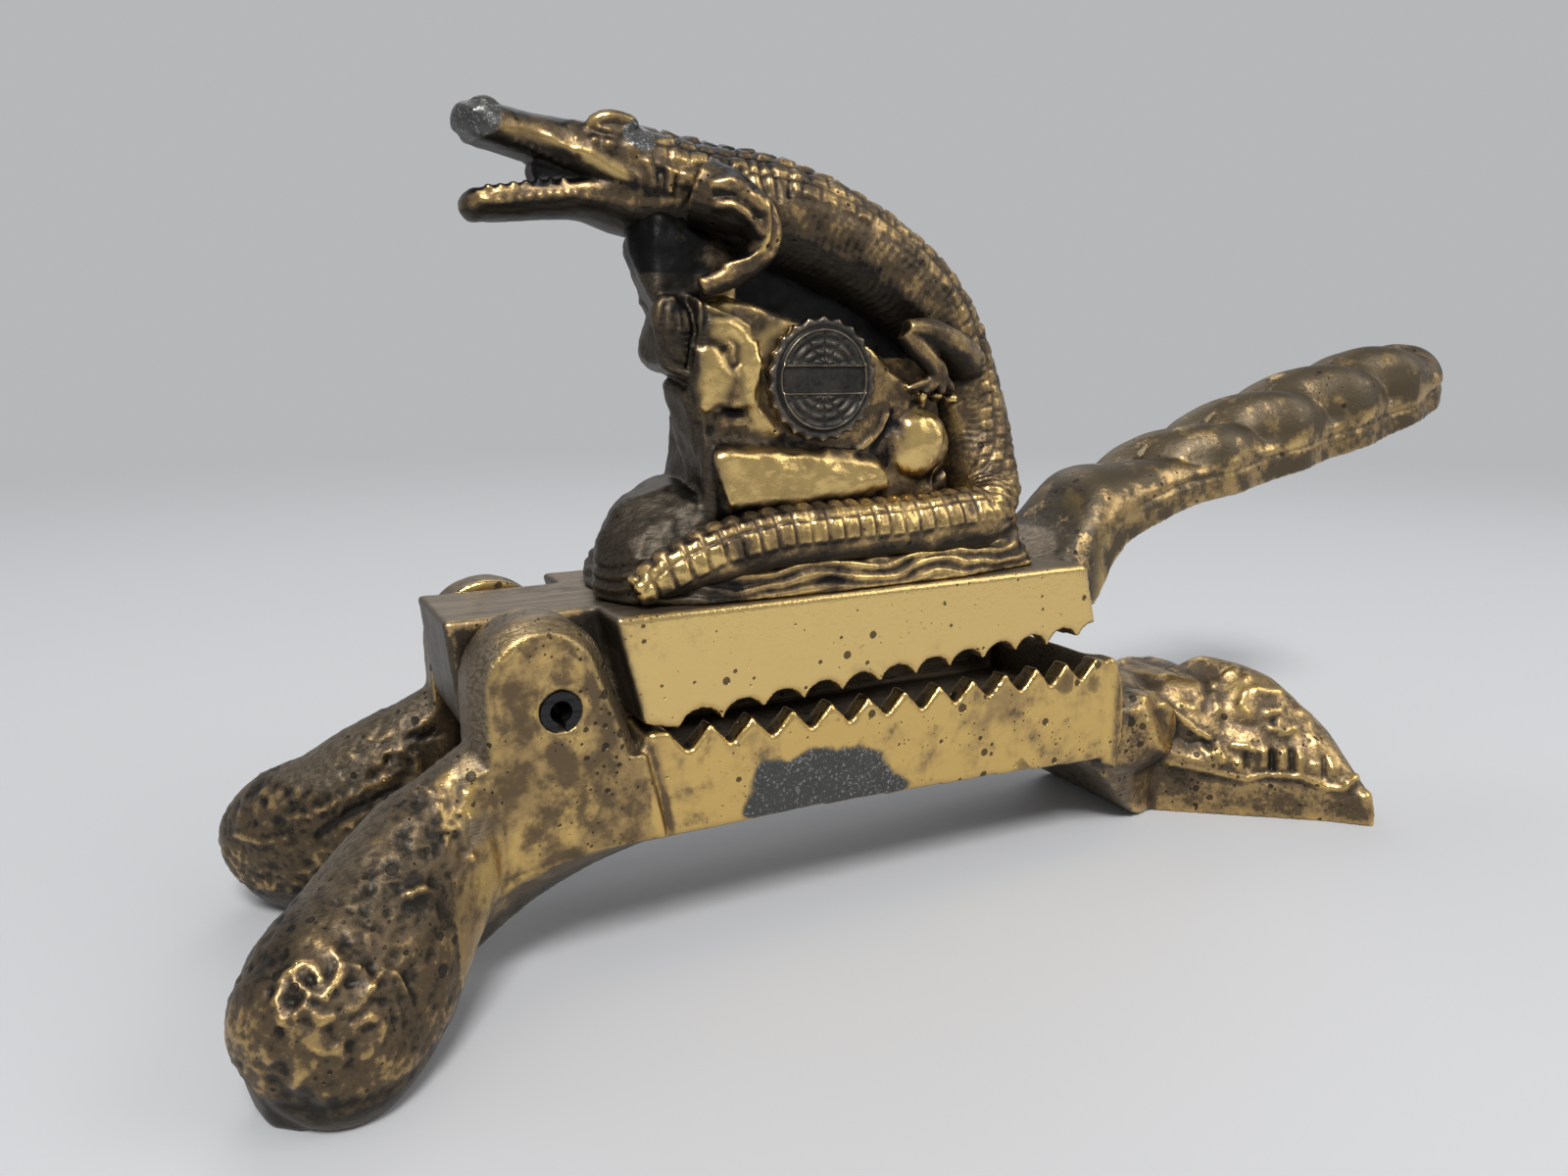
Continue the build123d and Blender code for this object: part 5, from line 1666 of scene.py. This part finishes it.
@dataclass
class Rock(Casting):
    """Hewn rock, mound and foot that carry the reptile."""

    piece: str = "rock"
    body: str = "lever"
    slot: str = "figure_brass"
    node: str = "figure_casting"
    grain: float = 0.36
    plate_top: float = 44.8
    seat: Flat = (36.8, 71.4)
    lean: float = 0.47

    def shapes(self) -> list[Shape]:
        """Blocks of the rock, to be fused.

        Each row of the table is a block's name, its chamfer, its lean, and x, y and z of its near corners.
        """
        table = (
            ("trunk", 1.6, self.lean, (14.2, -3, 90.8, 16.8, -6.6, 90.8, 25, -3.6, 91, 13.6, -3, 87.0,
              14.2, -4.6, 84.8, 16.0, -7.4, 83.6, 16.1, -7.8, 79.2, 26, -8.2, 79, 27, -7.4, 86, 24, -6.0,
              89)),
            ("bulge", 0.8, self.lean, (15.2, -3, 73.5, 15.3, -3, 76, 16.1, -8.4, 73, 16.4, -8.6, 78, 19.5,
              -9.3, 81, 16.6, -3, 80, 20, -9.8, 71, 28, -7, 81, 28, -7, 70)),
            ("stem", 0.8, 0.8, (18.0, -3, 71.5, 18.8, -8.3, 70, 20.6, -3, 66, 20.9, -8.6, 66, 21.5, -3, 57,
              22, -9.2, 57, 30, -9, 73, 30, -9, 54)),
            ("core", 0.5, 0.0, (24, -3.8, 54, 24, -3.8, 87, 40, -3.8, 85, 52, -3.8, 80, 60, -4.5, 74, 64,
              -5, 62, 66, -5, 45, 20, -5.5, 45)),
            ("face", 0.9, self.lean, (20.6, -9.9, 80.6, 24, -9.9, 81.2, 27.3, -9.9, 80.4, 35.5, -9.9, 77.6,
              42.7, -9.9, 76.2, 47, -9.9, 74.0, 51, -9.9, 70.5, 54, -9.9, 66, 55.5, -9.9, 60, 55.5, -9.9,
              52, 21, -9.9, 52, 20.3, -9.9, 66)),
            ("facet", 0.35, self.lean, (20.4, -10.5, 80.9, 22.4, -10.7, 79.4, 26.6, -10.9, 77.8, 27.7,
              -10.9, 75.4, 27.5, -10.9, 72.4, 26.5, -10.8, 68.5, 20.7, -10.4, 67.2, 20.0, -10.4, 70.3,
              19.6, -8, 81.3, 29.0, -8, 79, 29.4, -8, 67, 19.8, -8, 66)),
            ("ledge", 0.5, self.lean, (21.5, -12.3, 62.7, 23.3, -12.6, 56.6, 34.4, -12.7, 56.6, 46.4,
              -12.4, 58.4, 44.5, -12.2, 60.6, 32.1, -12.3, 62.4, 22.4, -9.5, 63.8, 36, -9.5, 63.4, 46,
              -9.5, 61.5, 22, -9, 52, 48, -9, 52)),
            ("mound", 1.4, self.lean, (11.5, -4, 56.0, 15.1, -5, 58.2, 19.4, -5, 59.1, 20.5, -8.5, 57.8,
              8.4, -5, 51.6, 12, -9.6, 52.3, 7.6, -5, 44.9, 10.4, -11.2, 44.9, 20, -13.3, 44.9, 24, -12,
              51)),
            ("foot", 0.4, 0.0, (9.4, -4, 44.85, 11.4, -11.0, 44.85, 18.5, -14.5, 44.85, 35.7, -15.3, 44.85,
              57, -15.0, 44.85, 71.5, -12.3, 44.85, 75.0, -6, 44.85, 12, -10, 48.6, 20, -13.4, 48.8, 36,
              -14.4, 48.8, 57, -14.2, 48.9, 68, -11.5, 49.0, 73.5, -5, 49.5)),
            ("rear", 1.2, 0.0, (56, -5, 45, 75.0, -5.0, 45, 75.4, -4.2, 50.5, 69, -5, 61, 58, -5, 66, 69,
              -8, 45)),
        )
        blocks = []
        for _, chamfer, lean, corners in table:
            blocks.append(boulder(both(triples(corners), lean), chamfer))
        tilt = Matrix.Rotation(math.radians(-25), 4, "Y")
        blocks.append(ball((17.8, -8.4, 77.0), (2.6, 1.7, 4.4), tilt))
        for side in Side:
            blocks.append(ball((52.2, side.value * 9.4, 62.8), (4.9, 2.6, 4.7), tilt))
            for x, z, size in ((52.2, 69.2, 1.0), (54.6, 69.2, 1.1), (57.2, 68.8, 1.0)):
                blocks.append(ball((x, side.value * 10.2, z), (size, 1.2, 0.9)))
        return blocks

    def sculpt(self) -> Skin:
        """Models the rock.

        Returns:
            The finished skin with its wear.
        """
        skin = Skin(pour(self.shapes(), self.grain))
        skin.soften(4)
        points = skin.points
        skin.soften(16, ramp(78.0, 81.0, points[:, 2]) * ramp(31.0, 27.0, points[:, 0]))
        x, _, z = points.T
        clear = ramp(self.plate_top + 0.2, self.plate_top + 1.0, z)
        sideways = ramp(0.3, 0.7, np.abs(skin.normals[:, 1]))
        seat = np.hypot(x - self.seat[0], z - self.seat[1])
        free = 1 - ramp(9.0, 7.8, seat) * sideways
        low = ramp(51.5, 49.5, z)
        waves = z - 45.2 + 0.5 * np.sin(x / 3.1) + 0.9 * soft_noise(points, 5.0, 43.0)
        heights = 0.42 * soft_noise(points, 4.6, 31.0) + 0.2 * soft_noise(points, 2.2, 33.0)
        heights += 0.1 * soft_noise(points, 1.1, 37.0)
        heights = heights * (1 - 0.6 * low) + low * 0.22 * np.cos(2 * math.pi * waves / 1.6)
        heights += SIGHT.relief(skin, ROCK_MARKS, np.ones(len(points)))
        skin.raise_by(heights * clear * free)
        self.wear_and_light(skin)
        return skin

    def wear_and_light(self, skin: Skin) -> None:
        """Paints the rock's wear, with painted shade under the belly and on the column's front, and a painted
        sheen on its sides.
        """
        x, y, z = skin.points.T
        normals = skin.normals
        facing = ramp(0.5, 0.85, np.abs(normals[:, 1]))
        out = np.abs(y)
        polish = 0.85 * SIGHT.patches(skin, ROCK_GOLD, (out > 6.0).astype(float), 9.0)
        ridge = skin.ridges(0.4, (1.0, 6), (0.26, 50), (0.2, 3.2, 71.0))
        shade = ramp(-0.1, -0.7, normals[:, 2])
        # Faces turned sideways are lifted a little as painted sheen; downward faces are darkened as painted
        # shade.
        ridge = ridge - 0.2 * shade + 0.08 * facing
        # The gap between the rock's top and the reptile's belly is darkened as painted shade.
        belly_gap_shade = ramp(9.0, 7.6, out) * (z > 74) * (x > 28) * (x < 62)
        ridge = ridge * (1 - 0.85 * belly_gap_shade)
        # Painted shade on the column's left side below x 25; the colour also darkens toward the top above z
        # 80.
        ridge = ridge - 0.12 * ramp(80.0, 84.0, z) - 0.3 * ramp(25.0, 21.0, x)
        polish *= np.clip(0.95 + 0.5 * soft_noise(skin.points, 2.0, 73.0), 0.0, 1.0)
        ridge = ridge * (1 - polish) + 0.7 * polish
        # The dull film on the column's faces that turn toward the front is painted shade.
        tarnish_and_shade = ramp(0.2, -0.5, normals[:, 0]) * 0.4 * (x < 22) * (z < 84)
        skin.paint(skin.spread(polish, 1), ridge, tarnish_and_shade * (1 - polish), np.zeros(len(x)))


@dataclass
class SouvenirDisc:
    """Scalloped disc with a bare band between two fans of petals."""

    centre: Point = (36.78, -9.9, 71.42)
    radius: float = 7.9
    thickness: float = 1.3
    scallops: int = 22
    ring_radius: float = 6.32
    band_half: float = 1.74
    scallop_depth: float = 0.055
    steps_round: int = 264

    def profile(self) -> list[Flat]:
        """Section of the plain disc as radius and height, from the front's middle to the back's."""
        inner = [(0.12 * k, self.thickness) for k in range(56)]
        rim = (6.8, 1.36, 7.0, 1.44, 7.25, 1.46, 7.5, 1.42, 7.7, 1.3, 7.82, 1.1, 7.86, 0.8, 7.84, 0.3)
        return inner + pairs(rim) + [(7.7, 0.0), (4.0, 0.0), (0.0, 0.0)]

    def relief(self, across: float, upward: float) -> float:
        """Height of the pressed drawing at a place on the front."""
        out = math.hypot(across, upward)
        height = 0.4 * math.exp(-(((out - self.ring_radius + 0.17) / 0.18) ** 2))
        if out < self.ring_radius - 0.1:
            edge = abs(abs(upward) - self.band_half)
            height += 0.38 * math.exp(-((edge / 0.18) ** 2))
            if abs(upward) > self.band_half + 0.2:
                turn = math.atan2(across, abs(upward) - self.band_half)
                leaf = abs(math.sin(turn * 4.5)) ** 0.7
                ripple = 0.5 + 0.5 * math.cos(2 * math.pi * out / 1.15)
                height += (0.1 + 0.32 * leaf * ripple) * min(1.0, (self.ring_radius - out) / 0.5)
        return height

    def build(self, copper: Material) -> bpy.types.Object:
        """Makes the piece.

        Args:
            copper: Its finish.

        Returns:
            The disc on the rock's near face.
        """
        shape = bmesh.new()
        edges = drawn_line(shape, [(out, 0.0, high) for out, high in self.profile()])
        bmesh.ops.spin(shape, geom=list(shape.verts) + edges, cent=(0, 0, 0), axis=(0, 0, 1),
                       angle=2 * math.pi, steps=self.steps_round, use_merge=True)
        bmesh.ops.remove_doubles(shape, verts=shape.verts, dist=0.0005)
        for corner in shape.verts:
            out = math.hypot(corner.co.x, corner.co.y)
            turn = math.atan2(corner.co.y, corner.co.x)
            wave = abs(math.cos(turn * self.scallops / 2)) ** 1.4
            rim = max(0.0, min(1.0, (out - 6.6) / 1.0))
            if corner.co.z > self.thickness - 0.01 and out < 6.8:
                corner.co.z += self.relief(corner.co.x, corner.co.y)
            shrink = 1 - self.scallop_depth * rim * wave
            corner.co.x *= shrink
            corner.co.y *= shrink
            corner.co.z -= 0.12 * rim * wave * (corner.co.z > 1.0)
        bmesh.ops.recalc_face_normals(shape, faces=shape.faces)
        upright = Matrix.Translation(self.centre) @ Matrix.Rotation(math.radians(90), 4, "X")
        bmesh.ops.transform(shape, matrix=upright, verts=shape.verts)
        mesh = mesh_of(shape, "souvenir_disc")
        skin = Skin(mesh)
        ridge = 0.4 + 3.2 * skin.proud(3) + 1.0 * skin.proud(12)
        empty = np.zeros(len(skin.points))
        skin.paint(empty, ridge, empty, empty)
        return finished("souvenir_disc", mesh, copper, "lever", "medallion")


@dataclass
class Fittings:
    """Spring pin, screws and washers, which keep their CAD shapes."""

    nodes: tuple[tuple[str, str], ...] = (
        ("hinge_pin", "pin"),
        ("figure_screws", "screw"),
        ("screw_washers", "screw"),
    )

    def dress(self, finishes: dict[str, Material]) -> None:
        """Gives each CAD node its finish."""
        for node, finish in self.nodes:
            mesh = frame["nodes"][node].data
            mesh.materials.clear()
            mesh.materials.append(finishes[finish])
            log.info("%s keeps its CAD shape", node)


@dataclass
class Studio:
    """Pale floor with a curved back, soft lamps and the camera."""

    floor_colour: Colour = (0.57, 0.575, 0.585, 1.0)
    backdrop_colour: Colour = (0.468, 0.474, 0.485, 1.0)
    sky_strength: float = 0.45
    near_edge: float = 0.3
    far_edge: float = 0.95
    lamp_target: Point = (0.0, 0.0, 0.04)
    half_span: float = 6.0
    curve_start: float = 2.2
    curve_radius: float = 1.2
    curve_steps: int = 12

    def sweep(self) -> None:
        """Floor that curves up behind the object."""
        shape = bmesh.new()
        start, radius = self.curve_start, self.curve_radius
        profile = [(-3.0, 0.0), (start, 0.0)]
        for k in range(1, self.curve_steps + 1):
            turn = math.radians(90 * k / self.curve_steps)
            profile.append((start + radius * math.sin(turn), radius - radius * math.cos(turn)))
        profile.append((start + radius, 5.0))
        edges = drawn_line(shape, [(-self.half_span, y, z) for y, z in profile])
        spread = bmesh.ops.extrude_edge_only(shape, edges=edges)["geom"]
        moved = [item for item in spread if isinstance(item, bmesh.types.BMVert)]
        bmesh.ops.translate(shape, verts=moved, vec=(2 * self.half_span, 0.0, 0.0))
        turn = Matrix.Rotation(-math.radians(SIGHT.yaw), 4, "Z")
        bmesh.ops.transform(shape, matrix=turn, verts=shape.verts)
        bmesh.ops.recalc_face_normals(shape, faces=shape.faces)
        mesh = mesh_of(shape, "sweep")
        mesh.shade_smooth()
        floor = placed("sweep", mesh)
        mesh.materials.append(self.sweep_material())

    def sweep_material(self) -> Material:
        """Makes the sweep's material.

        Returns:
            Pale paper that is lit near the object and evenly pale further off.
        """
        material, wires = bare_material("pale sweep")
        looks = {"Base Color": self.floor_colour, "Roughness": 0.75, "Specular IOR Level": 0.2}
        paper = wires.add("ShaderNodeBsdfPrincipled", looks)
        even = wires.add("ShaderNodeEmission", {"Color": self.backdrop_colour})
        spot = wires.add("ShaderNodeTexCoord")
        reach = wires.add("ShaderNodeVectorMath", {0: spot.outputs["Object"]}, operation="LENGTH")
        far = wires.step(reach.outputs["Value"], self.near_edge, self.far_edge)
        ray = wires.add("ShaderNodeLightPath").outputs
        seen = wires.most(ray["Is Camera Ray"], ray["Is Glossy Ray"])
        seen = wires.most(seen, ray["Is Transmission Ray"])
        mix = {0: wires.times(far, seen), 1: paper.outputs[0], 2: even.outputs[0]}
        wires.finish(wires.add("ShaderNodeMixShader", mix))
        return material

    def lamps(self) -> None:
        """Soft lamps and the sky."""
        world = bpy.data.worlds.new("studio")
        world.use_nodes = True
        background = world.node_tree.nodes["Background"]
        background.inputs["Color"].default_value = (0.95, 0.97, 1.0, 1.0)
        background.inputs["Strength"].default_value = self.sky_strength
        bpy.context.scene.world = world
        for name, place, size, power in (
            ("key", (-0.3, -0.7, 0.95), 0.3, 10.5),
            ("fill", (0.9, -0.7, 0.8), 0.8, 4.0),
            ("back", (0.2, 0.9, 1.1), 0.9, 4.0),
        ):
            light = bpy.data.lights.new(name, "AREA")
            light.shape = "SQUARE"
            light.size = size
            light.energy = power
            lamp = placed(name, light)
            lamp.location = place
            aim = Vector(self.lamp_target) - Vector(place)
            lamp.rotation_euler = aim.to_track_quat("-Z", "Y").to_euler()

    def camera(self) -> None:
        """Camera at the photograph's angle."""
        data = bpy.data.cameras.new("camera")
        data.lens = SIGHT.lens
        data.sensor_width = SENSOR_WIDTH
        data.clip_start = 0.01
        eye = placed("camera", data)
        eye.location = TO_ROW @ Vector(SIGHT.place)
        eye.rotation_euler = (math.radians(90 - SIGHT.pitch), 0.0, -math.radians(SIGHT.yaw))
        bpy.context.scene.camera = eye

    def build(self) -> None:
        """Makes the studio."""
        self.sweep()
        self.lamps()
        self.camera()
        bpy.context.scene.view_settings.view_transform = "Standard"


BASE_BRASS = AgedBrass(
    name="base brass",
    bright=(0.72, 0.49, 0.17, 1.0), tan=(0.4, 0.27, 0.12, 1.0),
    brown=(0.12, 0.085, 0.05, 1.0), black=(0.028, 0.024, 0.019, 1.0),
    dull=(0.12, 0.094, 0.064, 1.0), dull_light=(0.25, 0.2, 0.14, 1.0),
    pits=0.8, spots=0.7, tarnish=0.55,
)
LEVER_BRASS = AgedBrass(
    name="lever brass",
    bright=(0.76, 0.54, 0.21, 1.0), tan=(0.46, 0.31, 0.14, 1.0),
    brown=(0.074, 0.06, 0.042, 1.0), black=(0.03, 0.025, 0.019, 1.0),
    dull=(0.13, 0.1, 0.07, 1.0), dull_light=(0.27, 0.215, 0.15, 1.0),
    pits=0.55, spots=0.3, tarnish=0.4,
)
FIGURE_BRASS = AgedBrass(
    name="figure brass",
    bright=(0.74, 0.52, 0.2, 1.0), tan=(0.3, 0.2, 0.09, 1.0),
    brown=(0.09, 0.064, 0.038, 1.0), black=(0.008, 0.0075, 0.007, 1.0),
    dull=(0.1, 0.078, 0.052, 1.0), dull_light=(0.2, 0.16, 0.11, 1.0),
    pits=0.5, spots=0.35, tarnish=0.5, bump=0.16,
)
DISC_COPPER = AgedBrass(
    name="disc copper",
    bright=(0.3, 0.24, 0.16, 1.0), tan=(0.13, 0.105, 0.08, 1.0),
    brown=(0.05, 0.045, 0.038, 1.0), black=(0.02, 0.019, 0.018, 1.0),
    dull=(0.05, 0.045, 0.038, 1.0), dull_light=(0.1, 0.09, 0.075, 1.0),
    pits=0.2, spots=0.1, tarnish=0.5, bump=0.04,
)
PIN_STEEL = PlainSteel("pin steel", (0.03, 0.03, 0.032, 1.0), (0.012, 0.011, 0.01, 1.0), 0.8, 0.38)
SCREW_STEEL = PlainSteel("screw steel", (0.42, 0.41, 0.39, 1.0), (0.14, 0.12, 0.1, 1.0), 0.9, 0.35)


def main() -> None:
    """Builds the studio and every piece."""
    logging.basicConfig(level=logging.INFO)
    Studio().build()
    speckle = speckle_effect()
    brushed = brushed_effect()
    aged = aged_effect(speckle, brushed)
    BaseCasting().build(BASE_BRASS.build(aged))
    LeverCasting().build(LEVER_BRASS.build(aged))
    figure = FIGURE_BRASS.build(aged)
    Rock().build(figure)
    Reptile().build(figure)
    SouvenirDisc().build(DISC_COPPER.build(aged))
    steels = {"pin": PIN_STEEL, "screw": SCREW_STEEL}
    Fittings().dress({name: steel.build(speckle, brushed) for name, steel in steels.items()})


if __name__ == "__main__":
    main()
